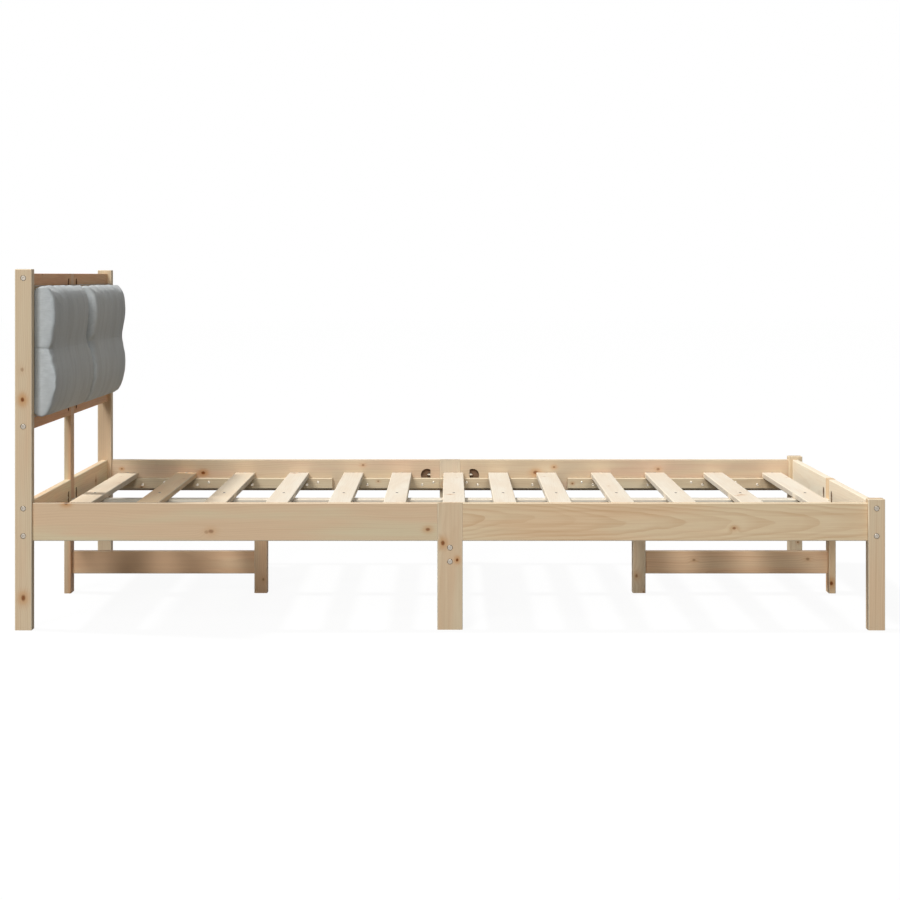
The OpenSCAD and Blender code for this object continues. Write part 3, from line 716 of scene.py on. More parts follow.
# %% Cushion section
# Height and depth in mm
SECTION = [
    (500, 20), (506, 27), (512, 33), (522, 39), (541, 46.5), (565, 52.5), (590, 54), (618, 52),
    (645, 45.5), (665, 42), (685, 45), (705, 49.5), (735, 53), (755, 53.5), (775, 51.5),
    (790, 46.5), (803, 38), (810, 31), (814, 24),
]
ROUNDING = 12
CROWN_STEPS = 90
CROWN_HALF = 180 * MM


def bell(distance, reach):
    return np.exp(-(distance / reach) ** 2)


def ramp(value, low, high):
    share = np.clip((value - low) / (high - low), 0.0, 1.0)
    return share * share * (3 - 2 * share)


def press(value, limit, ease):
    """Lets a value rise to a limit and flattens it softly there."""
    over = value - (limit - ease)
    return np.where(over > 0, limit - ease * np.exp(-np.maximum(over, 0) / ease), value)


def section_depth(z):
    """The section's depth at a height, with the table's corners rounded off."""
    heights = np.arange(480.0, 835.0, 1.0)
    depths = np.interp(heights, *zip(*SECTION))
    weights = np.exp(-(np.arange(-ROUNDING, ROUNDING + 1) / 5.0) ** 2)
    depths = np.convolve(np.pad(depths, ROUNDING, "edge"), weights / weights.sum(), "valid")
    return np.interp(z / MM, heights, depths) * MM


def crown_at(x, y, z):
    """The blown-up form's own greatest depth, height by height."""
    heights = np.linspace(z.min(), z.max(), CROWN_STEPS)
    slot = np.clip(np.searchsorted(heights, z), 1, CROWN_STEPS - 1)
    inside = np.abs(y - (y.min() + y.max()) / 2) < CROWN_HALF
    crown = np.zeros(CROWN_STEPS)
    np.maximum.at(crown, slot[inside], x[inside])
    crown[0] = crown[1]
    return np.interp(z, heights, crown)


print("the section is", max(depth for _, depth in SECTION), "mm deep at most")

# %% Cushion fit
SQUARENESS = 0.42
TUCK = 16 * MM
DEEPEST = 54 * MM
SQUARED = 42 * MM
SQUARING = 1.6
SOFT_STOP = 4 * MM
# How far the far ends slope, and how much of the depth they lose
NEAR_SLOPE, FAR_SLOPE = 200 * MM, 120 * MM
NEAR_LOSS, NEAR_LOSS_ABOVE, FAR_LOSS = 0.07, 0.45, 0.22
# How far the near ends bulge, and by how much
NEAR_BULGE, FAR_BULGE = 70 * MM, 75 * MM
BULGE, BULGE_BELOW, BULGE_ABOVE, FAR_BULGE_SHARE = 0.01, 0.03, 0.04, 0.10
INNER_OVER, OUTER_OVER = 0.2 * MM, 0.35 * MM
NEAR_HEAD_ROOM, FAR_HEAD_ROOM = 0.4 * MM, 2.4 * MM


def fit_cushion(points, side, low, high):
    """Seats the form between the posts, the rails and its neighbour."""
    x, y, z = points[:, 0] - BACK, points[:, 1] * side, points[:, 2]
    share = np.clip(x / np.maximum(crown_at(x, y, z), 1 * MM), 0.0, 1.0)
    z = low.z + 0.4 * MM + (z - z.min()) * (high.z - low.z - 0.8 * MM) / (z.max() - z.min())
    x = section_depth(z) * share ** SQUARENESS
    x = x - TUCK * (1.0 - ramp(x, 0.0, 10 * MM))
    inner, outer = sorted((abs(low.y), abs(high.y)))
    y = press(y, outer + 0.3 * MM, SOFT_STOP)
    y = -press(-y, -inner + 0.3 * MM, SOFT_STOP)
    upper = ramp(z, SEAM_RISE - 20 * MM, SEAM_RISE + 40 * MM)
    if side < 0:
        loss = (1.0 - ramp(y - inner, 0.0, NEAR_SLOPE)) ** 2 * (NEAR_LOSS + NEAR_LOSS_ABOVE * upper)
    else:
        loss = (1.0 - ramp(outer - y, 0.0, FAR_SLOPE)) ** 2 * FAR_LOSS
    return np.stack([x * (1.0 - loss) + BACK, y * side, z], axis=1)


def square_end(reach):
    """Draws the rounding of an end in towards the end itself."""
    share = np.clip(reach / SQUARED, 0.0, 1.0)
    return np.where(reach < SQUARED, SQUARED * share ** SQUARING, reach)


def fill_place(points, side, low, high):
    """Stretches the eased form back to its full size, with square near ends."""
    x, y, z = points[:, 0] - BACK, points[:, 1] * side, points[:, 2]
    inner, outer = sorted((abs(low.y), abs(high.y)))
    y = np.interp(y, (y.min(), y.max()), (inner - INNER_OVER, outer + OUTER_OVER))
    head_room = NEAR_HEAD_ROOM if side < 0 else FAR_HEAD_ROOM
    z = np.interp(z, (z.min(), z.max()), (low.z + 0.2 * MM, high.z - head_room))
    x = np.maximum(x * DEEPEST / x.max(), 0.05 * MM)
    if side < 0:
        y = outer + OUTER_OVER - square_end(outer + OUTER_OVER - y)
        lower = 1.0 - ramp(z, 600 * MM, 680 * MM)
        upper = ramp(z, 740 * MM, 795 * MM)
        x = x * (1.0 + bell(outer - y, NEAR_BULGE) * (BULGE + BULGE_BELOW * lower + BULGE_ABOVE * upper))
    else:
        y = inner - INNER_OVER + square_end(y - inner + INNER_OVER)
        x = x * (1.0 + bell(y - inner, FAR_BULGE) * FAR_BULGE_SHARE)
    return np.stack([x + BACK, y * side, z], axis=1)


print("cushions are fitted to", DEEPEST / MM, "mm")

# %% [markdown]
# Cloth that is stapled behind a board puckers at its top edge and is pulled in
# at both ends of its channel. A finer simulation could find such folds by
# itself, but not at the places that the photograph shows. So they are drawn:
# each pushes the points in along their normals by a soft bell of its own.

# %% Cushion folds
CHANNEL_WIDTH = 3.4 * MM
# The pulled corners: their distance from the end and their depth
INNER_PULL, OUTER_PULL = (15 * MM, 13.0 * MM), (10 * MM, 3.5 * MM)
PLEAT_LEAN, FAINT_LEAN = 0.16, 0.12
FAINT_FOLDS = 46


def fold_cushion(points, normals, side, pleats, rng):
    """Draws the sewn channel, the pulled corners, the pleats and faint folds."""
    x, y, z = points[:, 0] - BACK, points[:, 1] * side, points[:, 2]
    rise = z - SEAM_RISE
    flank = 1.0 - ramp(np.minimum(y - y.min(), y.max() - y), 16 * MM, 40 * MM)
    sink = (0.3 + 2.3 * flank) * MM * bell(rise, CHANNEL_WIDTH)
    corner = ramp(x, 22 * MM, 36 * MM)
    for end, deep in ((y.min() + INNER_PULL[0], INNER_PULL[1]), (y.max() - OUTER_PULL[0], OUTER_PULL[1])):
        sink += deep * corner * bell(y - end, 20 * MM) * bell(rise, 12 * MM)
    top = ramp(z, SEAM_RISE + 62 * MM, SEAM_RISE + 146 * MM)
    for place in pleats:
        lean = (z - z.max()) * rng.uniform(-PLEAT_LEAN, PLEAT_LEAN)
        width = rng.uniform(11, 17) * MM
        deep = rng.uniform(3.0, 4.6) * MM
        across = y - place * MM - lean
        crease = bell(across, width) - 0.45 * bell(across - 2.1 * width, 1.7 * width)
        sink += deep * crease * top
    for _ in range(FAINT_FOLDS):
        place, width = rng.uniform(y.min(), y.max()), rng.uniform(9, 26) * MM
        lobe = SEAM_RISE + rng.choice((rng.uniform(40, 110), rng.uniform(-120, -45))) * MM
        across = y - place - (z - lobe) * rng.uniform(-FAINT_LEAN, FAINT_LEAN)
        sink += rng.uniform(0.4, 1.1) * MM * bell(across, width) * bell(z - lobe, 60 * MM)
    free = ramp(x, 0.0, 5 * MM)
    return points - normals * (sink * free)[:, None]


print("faint folds on each cushion:", FAINT_FOLDS)

# %% [markdown]
# The cover's cloth goes round the board's edges and ends in a hem behind it,
# with a slightly ragged cut. Both are thin flat rings, so they are drawn
# straight from their outlines.

# %% Board wrap
CLOTH, CLOTH_GAP = 0.65 * MM, 0.04 * MM
HEM_LOW, HEM_HIGH = 530.3 * MM, 782.2 * MM
HEM_START, HEM_OVER = 19.7 * MM, 0.6 * MM
CUT_START, CUT_END = 46 * MM, 36 * MM
CUT_LOW, CUT_HIGH = 13 * MM, 12 * MM
CUT_STEPS, CUT_RIPPLE = 40, 1.3 * MM


def plate_ring(form, outer, inner, x0, x1):
    """A thin flat ring between two outlines of matching points."""
    loops = [
        [form.verts.new((x, y, z)) for y, z in outline]
        for x, outline in ((x0, outer), (x1, outer), (x1, inner), (x0, inner))
    ]
    count = len(outer)
    for low, high in zip(loops, loops[1:] + loops[:1]):
        for k in range(count):
            form.faces.new((low[k], low[(k + 1) % count], high[(k + 1) % count], high[k]))


def outline(y0, y1, z0, z1, steps, ripple=0.0, rng=None):
    """A rectangle's outline, walked in even steps, with a ripple along it."""
    corners = [(y0, z0), (y1, z0), (y1, z1), (y0, z1)]
    walk = []
    for (ya, za), (yb, zb) in zip(corners, corners[1:] + corners[:1]):
        for k in range(steps):
            share = k / steps
            stray = [rng.uniform(-ripple, ripple) if rng else 0.0 for _ in "yz"]
            walk.append((ya + (yb - ya) * share + stray[0], za + (zb - za) * share + stray[1]))
    return walk


def board_box(side):
    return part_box("back_board_" + ("left" if side < 0 else "right"))


def wrap_board(side, rng):
    """The cover's cloth round the board's edges and its hem behind."""
    low, high = board_box(side)
    form = bmesh.new()
    edges = [
        outline(low.y - away, high.y + away, low.z - away, high.z + away, 1)
        for away in (CLOTH, CLOTH_GAP)
    ]
    plate_ring(form, *edges, low.x + 0.1 * MM, high.x + 0.9 * MM)
    inner, outer = (low.y, high.y) if side > 0 else (high.y, low.y)
    hem = sorted((inner + side * HEM_START, outer + side * HEM_OVER))
    cut = sorted((inner + side * CUT_START, outer - side * CUT_END))
    plate_ring(
        form,
        outline(*hem, HEM_LOW, HEM_HIGH, CUT_STEPS),
        outline(*cut, HEM_LOW + CUT_LOW, HEM_HIGH - CUT_HIGH, CUT_STEPS, CUT_RIPPLE, rng),
        low.x - 0.9 * MM,
        low.x - 0.05 * MM,
    )
    bmesh.ops.recalc_face_normals(form, faces=form.faces)
    return form


print("hem from", HEM_LOW / MM, "to", HEM_HIGH / MM, "mm")

# %% Cushions
CUSHION_SEED = 70
FIRST_EASE, LAST_EASE = 14, 8


def ease(piece, times):
    """Adds a modifier that evens the surface out this many times."""
    smooth = piece.modifiers.new("eased", "SMOOTH")
    smooth.factor, smooth.iterations = 0.5, times


def refine_seam(piece, reach):
    """Splits the edges along the channel, so that it can be drawn sharply."""
    form = bmesh.new()
    form.from_mesh(piece.data)
    seam = [edge for edge in form.edges if all(abs(v.co.z - SEAM_RISE) < reach for v in edge.verts)]
    bmesh.ops.subdivide_edges(form, edges=seam, cuts=1, use_grid_fill=True)
    pour(form, piece.data)


def make_cushion(node, name, pleats):
    low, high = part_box(node)
    side = 1 if high.y > 100 * MM else -1
    rng = random.Random(CUSHION_SEED + side)
    piece = cushion_blank(node, name)
    blow_up(piece)
    place_points(piece.data, fit_cushion(points_of(piece.data), side, low, high))
    ease(piece, FIRST_EASE)
    settle(piece)
    place_points(piece.data, fill_place(points_of(piece.data), side, low, high))
    finer = piece.modifiers.new("finer", "SUBSURF")
    finer.levels = finer.render_levels = 1
    ease(piece, LAST_EASE)
    settle(piece)
    refine_seam(piece, 9 * MM)
    normals = rows_of(piece.data.vertex_normals, "vector")
    points = fold_cushion(points_of(piece.data), normals, side, pleats, rng)
    place_points(piece.data, points)
    wrap = wrap_board(side, rng)
    wrap.from_mesh(piece.data)
    pour(wrap, piece.data)
    for face in piece.data.polygons:
        face.use_smooth = True
    piece.data.materials.clear()
    piece.data.materials.append(WEAVE)
    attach(piece, "root")
    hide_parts(node)
    span = [round(float(v) / MM, 1) for v in points.max(0) - points.min(0)]
    print(name, "measures", span, "mm,", len(piece.data.polygons), "faces")
    return piece


# The pleats' places along each cushion, in mm from the bed's middle
cushions = [
    make_cushion("cushion_left", "cushion_cover_left", (215, 330, 425, 545)),
    make_cushion("cushion_right", "cushion_cover_right", (130, 228, 330, 470)),
]

# %% [markdown]
# Screws, bolts, rods, staples and stitches repeat, so Geometry Nodes make them:
# one tree draws a single part from its named sizes and sets a copy on every
# point of a cloud. Copying finished meshes by hand would do too, but then a
# new size means new meshes. A point carries two arrows, which are the way that
# the part faces and the way that it lies, and a fixed seed turns it a little.

# %% Growing trees
SOCKETS = {float: "NodeSocketFloat", int: "NodeSocketInt", bpy.types.Material: "NodeSocketMaterial"}


def mm(**sizes):
    """Named sizes in mm, as metres."""
    return {title: size * MM for title, size in sizes.items()}


class Growth(Tree):
    """A Geometry Nodes tree with named inputs."""

    family = "GeometryNode"

    def __init__(self, name, **inputs):
        super().__init__(bpy.data.node_groups.new(name, "GeometryNodeTree"))
        face = self.group.interface
        for way in ("INPUT", "OUTPUT"):
            face.new_socket(name="Geometry", in_out=way, socket_type="NodeSocketGeometry")
        for title, value in inputs.items():
            face.new_socket(name=title, in_out="INPUT", socket_type=SOCKETS[type(value)])
        self.inputs = inputs
        self.start = self.group.nodes.new("NodeGroupInput")

    def given(self, *titles):
        """The tree's own inputs, by their names."""
        wires = [Wire(self, self.start.outputs[title]) for title in titles]
        return wires if len(wires) > 1 else wires[0]

    def pick(self, values):
        """A value for each point of a line, in order."""
        sockets = {str(count): value for count, value in enumerate(values)}
        settings = {"data_type": "FLOAT", "items": len(values)}
        return self.add("IndexSwitch", settings, Index=self.add("InputIndex"), **sockets)

    def wire_path(self, across, along):
        """A bent line through points given by their two coordinates."""
        curve = self.add("MeshToCurve", Mesh=self.add("MeshLine", Count=len(along)))
        place = self.vector(self.pick(across) if across else 0.0, 0.0, self.pick(along))
        return self.add("SetPosition", Geometry=curve, Position=place)

    def skin(self, curve, sides, radius):
        """A closed skin round a line, with one radius or one for each point."""
        ring = self.add("CurvePrimitiveCircle", Resolution=sides, Radius=1.0)
        return self.add("CurveToMesh", Curve=curve, Profile_Curve=ring, Scale=radius, Fill_Caps=True)

    def turned(self, stations, sides):
        """A part turned on a lathe, from pairs of height and radius."""
        heights, radii = zip(*stations)
        return self.skin(self.wire_path(None, heights), sides, self.pick(radii))

    def bar(self, half, radius, chamfer, tip, sides):
        """A round bar with chamfered ends."""
        upper = [(half, radius * tip), (half - chamfer, radius)]
        lower = [(chamfer - half, radius), (half * -1.0, radius * tip)]
        return self.turned(upper + lower, sides)

    def prism(self, sides, radius, depth):
        return self.add("MeshCylinder", Vertices=sides, Radius=radius, Depth=depth)

    def shifted(self, geometry, z, turn=0.0):
        way = self.vector(0.0, 0.0, z)
        return self.add("Transform", Geometry=geometry, Translation=way, Rotation=(turn, 0.0, 0.0))

    def joined(self, *parts):
        return self.add("JoinGeometry", Geometry=list(parts))

    def carved(self, body, *cutters):
        """A body with cutters taken out of it."""
        return self.add("MeshBoolean", {"operation": "DIFFERENCE"}, Mesh_1=body, Mesh_2=list(cutters))

    def common(self, *bodies):
        """What several bodies share."""
        return self.add("MeshBoolean", {"operation": "INTERSECT"}, Mesh_2=list(bodies))

    def carried(self, name, kind):
        """What each point carries under this name."""
        return self.add("InputNamedAttribute", {"data_type": kind}, Name=name)

    def aligned(self, axis, way, **more):
        """A turn that points an axis of the part along a way."""
        settings = {"axis": axis, **({"pivot_axis": "Z"} if more else {})}
        return self.node("FunctionNodeAlignRotationToVector", settings, {**more, "Vector": way})

    def attitude(self):
        """Turns a part's Z to its facing, its X to its lie, then a little more."""
        face = self.aligned("Z", self.carried("facing", "FLOAT_VECTOR"))
        lie = self.aligned("X", self.carried("lie", "FLOAT_VECTOR"), Rotation=face)
        wander, seed = self.given("Wander", "Seed")
        chance = {2: -1.0 * wander, 3: wander, "Seed": seed}
        angle = self.node("FunctionNodeRandomValue", {"data_type": "FLOAT"}, chance, out=1)
        sockets = {"Axis": (0.0, 0.0, 1.0), "Angle": angle}
        spin = self.node("FunctionNodeAxisAngleToRotation", sockets=sockets)
        sockets = {"Rotation": lie, "Rotate By": spin}
        return self.node("FunctionNodeRotateRotation", {"rotation_space": "LOCAL"}, sockets)

    def planted(self, part, scale=(1.0, 1.0, 1.0), points=None, attitude=None):
        """A copy of the part on every point."""
        points, turn = points or self.given("Geometry"), attitude or self.attitude()
        return self.add("InstanceOnPoints", Points=points, Instance=part, Rotation=turn, Scale=scale)

    def finished(self, geometry):
        """Ends the tree: real geometry with its material."""
        real = self.add("RealizeInstances", Geometry=geometry)
        dressed = self.add("SetMaterial", Geometry=real, Material=self.given("Finish"))
        self.node("NodeGroupOutput", sockets={"Geometry": dressed})
        return self


print("growing trees take", ", ".join(kind.__name__ for kind in SOCKETS))

# %% Growing on points
def grow(name, tree, spots, stands_for=None, slot="zinc_steel", edges=(), reach=None, **arrows):
    """Runs a tree on a cloud of points, keeps the result as a plain mesh and
    fixes it to the frame. An arrow, facing or lie, is one for all points or a
    list of one for each."""
    cloud = bpy.data.meshes.new(name + "_points")
    cloud.from_pydata(spots, edges, [])
    for title, ways in arrows.items():
        ways = ways if isinstance(ways, list) else [ways] * len(spots)
        layer = cloud.attributes.new(title, "FLOAT_VECTOR", "POINT")
        layer.data.foreach_set("vector", [float(part) for way in ways for part in way])
    if reach:
        cloud.attributes.new("reach", "FLOAT", "POINT").data.foreach_set("value", reach)
    host = show(name + "_host", cloud)
    growth = host.modifiers.new("growth", "NODES")
    growth.node_group = tree.group
    for item in tree.group.interface.items_tree:
        if item.in_out == "INPUT" and item.name in tree.inputs:
            growth[item.identifier] = tree.inputs[item.name]
    mesh = result_of(host)
    bpy.data.objects.remove(host)
    form = bmesh.new()
    form.from_mesh(mesh)
    bmesh.ops.recalc_face_normals(form, faces=form.faces)
    pour(form, mesh)
    piece = show(name, mesh)
    mesh.name = name
    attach(piece, "root")
    if stands_for:
        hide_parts(stands_for)
    print(name, "on", len(spots), "points,", len(mesh.polygons), "faces")


def in_metres(places):
    return [[part * MM for part in place] for place in places]


print("growing on points ready")

# %% [markdown]
# A wood screw has a low raised head with a cross recess and a cone under it,
# which sits in the wood. Its recess is cut by two crossed blades. The slats'
# screws come down from above, and the ledgers' screws point outwards from
# inside the bed, in two staggered rows.

# %% Wood screws
def screw_tree(name, length):
    tree = Growth(
        name, Length=length, Wander=math.pi, Seed=5, Finish=SCREW_ZINC,
        **mm(HeadRadius=4.0, ShankRadius=1.9, HeadRise=1.5),
        **mm(RecessWidth=0.95, RecessSpan=4.3, RecessDepth=1.7),
    )
    head, shank, rise, length = tree.given("HeadRadius", "ShankRadius", "HeadRise", "Length")
    dome = [(1.0, 0.08), (0.93, 0.4), (0.66, 0.7), (0.25, 0.92), (0.02, 1.0), (-0.35, 1.0)]
    stations = [(rise * high, head * wide) for high, wide in dome]
    stations += [(rise * -0.4 - head + shank, shank), (shank * 2.0 - length, shank)]
    stations += [(length * -1.0, shank * 0.08)]
    body = tree.turned(stations, 20)
    width, span, depth = tree.given("RecessWidth", "RecessSpan", "RecessDepth")
    cross = [
        tree.shifted(tree.add("MeshCube", Size=tree.vector(*size, depth * 2.0)), rise)
        for size in ((width, span), (span, width))
    ]
    return tree.finished(tree.planted(tree.carved(body, *cross)))


# Screw lengths, and the slat screws' distance from the bed's middle
LONG_SCREW, SHORT_SCREW, SLAT_GRIP = 35.0 * MM, 24.0 * MM, 686 * MM
SLAT_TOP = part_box("slat_07")[1].z
SLATS = [sum(v.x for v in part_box("slat_%02d" % count)) / 2 for count in range(1, 14)]
LEDGER_FACE = 673.5 * MM
LOW_ROW, HIGH_ROW = 229.0, 236.0
LEDGER_ROWS = [(LOW_ROW, (80.5, 240, 416, 575.5, 735, 894.5)), (HIGH_ROW, (48, 383.5, 702, 831))]
BLOCK_SCREWS = [(-18, LOW_ROW), (22, LOW_ROW)]

spots = [(x, y, SLAT_TOP) for x in SLATS for y in (-SLAT_GRIP, 0.0, SLAT_GRIP)]
facing = [(0, 0, 1)] * len(spots)
for side in (-1, 1):
    places = [(x * sign, row) for row, run in LEDGER_ROWS for x in run for sign in (-1, 1)]
    places += BLOCK_SCREWS
    spots += [(x * MM, side * LEDGER_FACE, z * MM) for x, z in places]
    facing += [(0, -side, 0)] * len(places)
screw = screw_tree("wood_screw", LONG_SCREW)
grow("raised_screws", screw, spots, "wood_screws", facing=facing, lie=(1, 0, 0))

# %% [markdown]
# Short screws hold the cushions' boards through the headboard's rails from
# behind. They are the same screws in another length, so the same tree grows
# them.

# %% Board screws
# In mm from the bed's middle: the posts' middles and the rails' outer faces
POST_X, POST_Y = 1007.5, 707.5
RAIL_X, RAIL_Y = POST_X + 9, POST_Y + 9

across, levels = (111, 343.75, 576.5), (515.75, 797.5)
places = [(-RAIL_X, side * y, z) for side in (-1, 1) for y in across for z in levels]
screw = screw_tree("board_screw", SHORT_SCREW)
grow("rail_screws", screw, in_metres(places), "board_screws", facing=(-1, 0, 0), lie=(0, 1, 0))

# %% [markdown]
# The frame's bolts have low round heads sunk into the posts, with a hexagonal
# socket for a key. The head and the shank are grown apart, because a shank
# stretches to its own reach while every head keeps its shape.

# %% Socket bolts
def bolt_tree():
    tree = Growth(
        "socket_bolt", Wander=math.pi, Seed=8, Finish=ZINC,
        **mm(HeadRadius=6.0, HeadHeight=3.5, Sunk=0.4, KeyAcross=4.0, KeyDepth=2.1, ShankRadius=3.0),
    )
    radius, sunk, thick = tree.given("HeadRadius", "Sunk", "HeadHeight")
    crown = [(0.0, 0.9), (0.12, 0.45), (0.4, 0.12), (0.8, 0.0)]
    stations = [(sunk * -1.0 - deep * MM, radius - inset * MM) for deep, inset in crown]
    stations += [(0.15 * MM - sunk - thick, radius), (0.0 - sunk - thick, radius - 0.15 * MM)]
    across, deep, shank = tree.given("KeyAcross", "KeyDepth", "ShankRadius")
    key = tree.prism(6, across / math.sqrt(3), deep * 2.0)
    head = tree.carved(tree.turned(stations, 32), tree.shifted(key, sunk * -1.0))
    rod = tree.turned([(-0.075, shank), (-0.98, shank), (-1.0, shank * 0.8)], 16)
    rods = tree.planted(rod, tree.vector(1.0, 1.0, tree.carried("reach", "FLOAT")))
    return tree.finished(tree.joined(tree.planted(head), rods))


POST_REACH, BOARD_REACH, LEG_REACH = 70.0 * MM, 48.0 * MM, 64.0 * MM
# In mm: the posts' outer faces, the centre legs and the stretchers' bolts
FACE_X, FACE_Y, LEG_X = POST_X + 20, POST_Y + 20, 482
LOW_LEVELS = (63.5, 96.5)
bolts = []
for side in (-1, 1):
    for end, levels in ((-1, (222.5, 287.5, 481, 831.5)), (1, (222.5, 287.5))):
        bolts += [((end * POST_X, side * FACE_Y, z), (0, side, 0), POST_REACH) for z in levels]
        bolts += [((end * FACE_X, side * POST_Y, z), (end, 0, 0), POST_REACH) for z in (237.5, 272.5)]
    bolts += [((0, side * RAIL_Y, z), (0, side, 0), BOARD_REACH) for z in (161, 194)]
for end in (-1, 1):
    places = [(-14, 227.5), (14, 227.5)] + [(0, z) for z in LOW_LEVELS]
    bolts += [((end * RAIL_X, y, z), (end, 0, 0), BOARD_REACH) for y, z in places]
    bolts += [((end * LEG_X, 0, z), (-end, 0, 0), LEG_REACH) for z in LOW_LEVELS]
places, facing, reach = (list(column) for column in zip(*bolts))
bolt, arrows = bolt_tree(), {"facing": facing, "lie": (0, 0, 1)}
grow("socket_bolts", bolt, in_metres(places), "frame_bolts", reach=reach, **arrows)

# %% [markdown]
# Where two half rails meet a leg, a threaded rod runs through all three, and a
# washer and a nut tighten it from a half-moon pocket in each rail. The thread
# is a thin ridge wound round the rod, and the nut is a hexagon whose corners
# are turned off by a wider barrel.

# %% Threaded rods
def rod_tree():
    tree = Growth(
        "threaded_rod", Wander=0.0, Seed=1, Finish=SCREW_ZINC,
        **mm(HalfLength=66.5, CoreRadius=2.7, Pitch=1.0, Ridge=0.32, Shoulder=57.0),
        **mm(WasherRadius=6.0, WasherHeight=1.5, NutAcross=10.0, NutHeight=5.0),
    )
    half, core, pitch, ridge = tree.given("HalfLength", "CoreRadius", "Pitch", "Ridge")
    rod = tree.bar(half, core, chamfer=0.6 * MM, tip=0.8, sides=16)
    wound = half * 2.0 - 1.6 * MM
    radii = {"Start_Radius": core, "End_Radius": core}
    winding = tree.add("CurveSpiral", Resolution=14, Rotations=wound / pitch, Height=wound, **radii)
    thread = tree.skin(tree.shifted(winding, 0.8 * MM - half), 4, ridge)
    wide, thick, tall, across = tree.given("WasherRadius", "WasherHeight", "NutHeight", "NutAcross")
    rim = [(thick, wide - 0.3 * MM), (thick - 0.2 * MM, wide), (0.05 * MM, wide), (0.0, wide - 0.1 * MM)]
    washer = tree.turned(rim, 32)
    corner = across / math.sqrt(3)
    barrel = tree.bar(tall * 0.5, corner, chamfer=0.7 * MM, tip=0.86, sides=36)
    nut = tree.common(barrel, tree.prism(6, corner, tall * 1.2))
    shoulder = tree.given("Shoulder")
    set_up = tree.joined(tree.shifted(washer, shoulder), tree.shifted(nut, shoulder + thick + tall * 0.5))
    mirrored = tree.shifted(set_up, 0.0, turn=math.pi)
    return tree.finished(tree.planted(tree.joined(rod, thread, set_up, mirrored)))


ROD_LEVEL, LOW_BOARD_LEVEL, TOP_BOARD_LEVEL = 255, 500, 812.5
places = [(0, -POST_Y, ROD_LEVEL), (0, POST_Y, ROD_LEVEL), (POST_X, 0, ROD_LEVEL)]
places += [(-POST_X, 0, z) for z in (ROD_LEVEL, LOW_BOARD_LEVEL, TOP_BOARD_LEVEL)]
facing = [(1, 0, 0)] * 2 + [(0, 1, 0)] * 4
grow("threaded_rods", rod_tree(), in_metres(places), "joint_rods", facing=facing, lie=(0, 0, 1))

# %% [markdown]
# Behind each cushion the cover's hem is stapled to the board, above, below and
# along its outer end. A staple is a wire bent at two corners, so its tree bends
# a line and gives it a skin.

# %% Staples
def staple_tree():
    sizes = mm(Crown=10.0, Leg=4.0, Gauge=0.42)
    tree = Growth("staple", **sizes, Wander=0.16, Seed=21, Finish=ZINC)
    crown, leg, gauge = tree.given(*sizes)
    half = crown / 2.0
    across = [half * -1.0, half * -1.0, half * -0.94, half * 0.94, half, half]
    along = [leg * -1.0, gauge * 0.2, gauge * 0.85, gauge * 0.85, gauge * 0.2, leg * -1.0]
    return tree.finished(tree.planted(tree.skin(tree.wire_path(across, along), 8, gauge)))


# In mm: places of the first staples, steps between them, and how far from the edge
ROW_START, ROW_STEP, ROW_INSET = 60, 48, 6
END_START, END_STEP, END_INSET = 26, 40, 17

spots, lie = [], []
for side in (-1, 1):
    board = board_box(side)
    behind = board[0].x - 0.9 * MM
    outer = max(abs(corner.y) for corner in board)
    for count in range(13):
        y = side * (ROW_START + count * ROW_STEP) * MM
        spots += [(behind, y, z) for z in (HEM_LOW + ROW_INSET * MM, HEM_HIGH - ROW_INSET * MM)]
        lie += [(0, 1, 0)] * 2
    for count in range(6):
        z = HEM_LOW + (END_START + count * END_STEP) * MM
        spots.append((behind, side * (outer - END_INSET * MM), z))
        lie.append((0, 0, 1))
grow("hem_staples", staple_tree(), spots, facing=(-1, 0, 0), lie=lie)

# %% [markdown]
# A line of stitches lies in the channel. It could be drawn as a dashed stripe
# on the cloth, but real stitches catch the light. They follow the finished
# cushion: rays shot at it find the bottom of its channel.

# %% Stitches
def thread_finish():
    thread = Finish("grey_thread")
    x, y, z = thread.place()
    twist = thread.noise(x * 1500.0, y * 1500.0, z * 1500.0)
    colour = thread.mix(twist, screen(186, 191, 192), screen(208, 213, 214))
    return thread.surface(Base_Color=colour, Roughness=0.7 + twist * 0.2)


def stitch_tree():
    tree = Growth("stitch", Finish=thread_finish(), **mm(Pitch=4.4, Length=3.1, Gauge=0.38))
    length, gauge, pitch = tree.given("Length", "Gauge", "Pitch")
    half = length / 2.0
    profile = [(-1.0, 0.3), (-0.7, 0.9), (0.7, 0.9), (1.0, 0.3)]
    stitch = tree.turned([(half * place, gauge * thick) for place, thick in profile], 6)
    curve = tree.add("MeshToCurve", Mesh=tree.given("Geometry"))
    points = tree.add("CurveToPoints", {"mode": "LENGTH"}, Curve=curve, Length=pitch)
    along = tree.aligned("Z", points.other("Tangent"))
    return tree.finished(tree.planted(stitch, points=points, attitude=along))


def channel_path(piece, side):
    """Walks along the channel: out along the outer end, then over the front towards the middle."""
    shape = BVHTree.FromObject(piece, bpy.context.evaluated_depsgraph_get())
    shots = [((BACK + x * MM, side * 0.9, SEAM_RISE), (0, -side, 0)) for x in range(6, 34, 3)]
    shots += [((0.0, side * y * MM, SEAM_RISE), (-1, 0, 0)) for y in range(668, 18, -8)]
    found = [shape.ray_cast(Vector(start), Vector(way))[0] for start, way in shots]
    return [list(point) for point in found if point]


spots, edges = [], []
for piece, side in zip(cushions, (-1, 1)):
    walk = channel_path(piece, side)
    edges += [(len(spots) + k, len(spots) + k + 1) for k in range(len(walk) - 1)]
    spots += walk
grow("channel_stitches", stitch_tree(), spots, slot="grey_fabric", edges=edges)

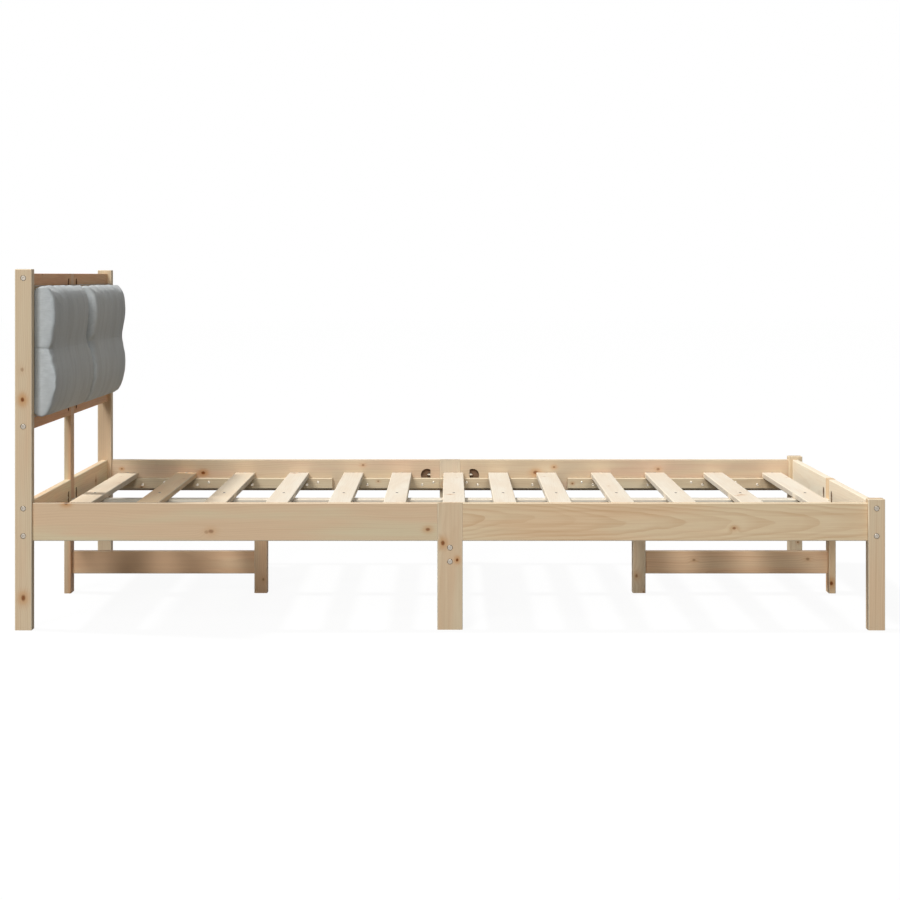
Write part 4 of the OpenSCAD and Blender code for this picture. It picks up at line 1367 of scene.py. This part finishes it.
# %% [markdown]
# The bed stands on a plain white floor. Floor and background turn white only
# for the camera and for reflections, so they add no light of their own: to the
# lamps the floor is dark, because the photograph's undersides are. A small
# share of the seen floor stays matt, and carries the bed's soft shadow.

# %% Floor
WHITE = (1.0, 1.0, 1.0, 1.0)
MATT_SHARE = 0.07


def grey(share):
    return (share, share, share, 1.0)


def seen_itself(tree):
    """1 where the camera or a reflection looks, and 0 for stray light."""
    seen = tree.node("ShaderNodeLightPath", out="Is Camera Ray")
    return seen.most(seen.other("Is Glossy Ray")).most(seen.other("Is Transmission Ray"))


def floor_finish():
    ground = Finish("studio_floor")
    seen = seen_itself(ground)
    tone = ground.mix(seen, grey(0.12), grey(0.97))
    matt = ground.add("BsdfDiffuse", Color=tone)
    white = ground.add("Emission", Color=WHITE, Strength=1.01)
    sockets = {0: seen * (1.0 - MATT_SHARE), 1: matt, 2: white}
    return ground.end(ground.node("ShaderNodeMixShader", sockets=sockets))


bpy.ops.mesh.primitive_plane_add(size=80.0, location=(0, 0, 0))
floor = bpy.context.object
floor.name = "studio_floor"
floor.data.materials.append(floor_finish())
print("floor", round(floor.dimensions.x), "m wide")

# %% [markdown]
# The key light comes from beyond the headboard at about 57 degrees, so that
# the headboard's shadow falls over the second slat. The photograph's other
# shadows have crisp upright edges, as beside the near head post, and smeared
# level ones, so the first fill is a tall, narrow softbox above the camera. A
# second, weaker one shines past the camera on the bed's near side.

# %% Lights
def hang(name, data, towards, distance=0.0):
    """Hangs a lamp so that it shines along an arrow over the bed's middle."""
    aim = Vector(towards).normalized()
    lamp = bpy.data.objects.new(name, data)
    lamp.location = -aim * distance
    lamp.rotation_euler = aim.to_track_quat("-Z", "Y").to_euler()
    bpy.context.scene.collection.objects.link(lamp)
    print(name, "shines along", [round(part, 2) for part in aim])


def sun(name, towards, strength, spread):
    data = bpy.data.lights.new(name, "SUN")
    data.energy = strength
    data.angle = math.radians(spread)
    hang(name, data, towards)


def softbox(name, towards, distance, wide, tall, strength):
    """A rectangular lamp so far away that it lights the whole bed alike."""
    data = bpy.data.lights.new(name, "AREA")
    data.shape = "RECTANGLE"
    data.size, data.size_y = wide, tall
    data.energy = strength * math.pi * distance ** 2
    hang(name, data, towards, distance)


KEY_RISE = math.radians(57)
sun("key", (math.cos(KEY_RISE), -0.15, -math.sin(KEY_RISE)), strength=2.26, spread=5.0)
softbox("front_fill", (0.30, 1.0, -0.62), distance=24.0, wide=4.6, tall=11.0, strength=1.50)
sun("camera_fill", (-0.12, 1.0, -0.40), strength=0.61, spread=12.0)

# %% [markdown]
# The world adds a weak, even light from all round, which keeps the deepest
# corners readable, and is white where it is seen.

# %% World
def studio_world(ambient):
    sky = bpy.data.worlds.new("studio")
    sky.use_nodes = True
    sky.node_tree.nodes.clear()
    room = Tree(sky.node_tree)
    dim, bright = (room.add("Background", Color=WHITE, Strength=power) for power in (ambient, 1.0))
    mixed = room.node("ShaderNodeMixShader", sockets={0: seen_itself(room), 1: dim, 2: bright})
    room.add("OutputWorld", Surface=mixed)
    bpy.context.scene.world = sky


studio_world(ambient=0.155)
bpy.context.scene.view_settings.view_transform = "Standard"
print("studio ready")
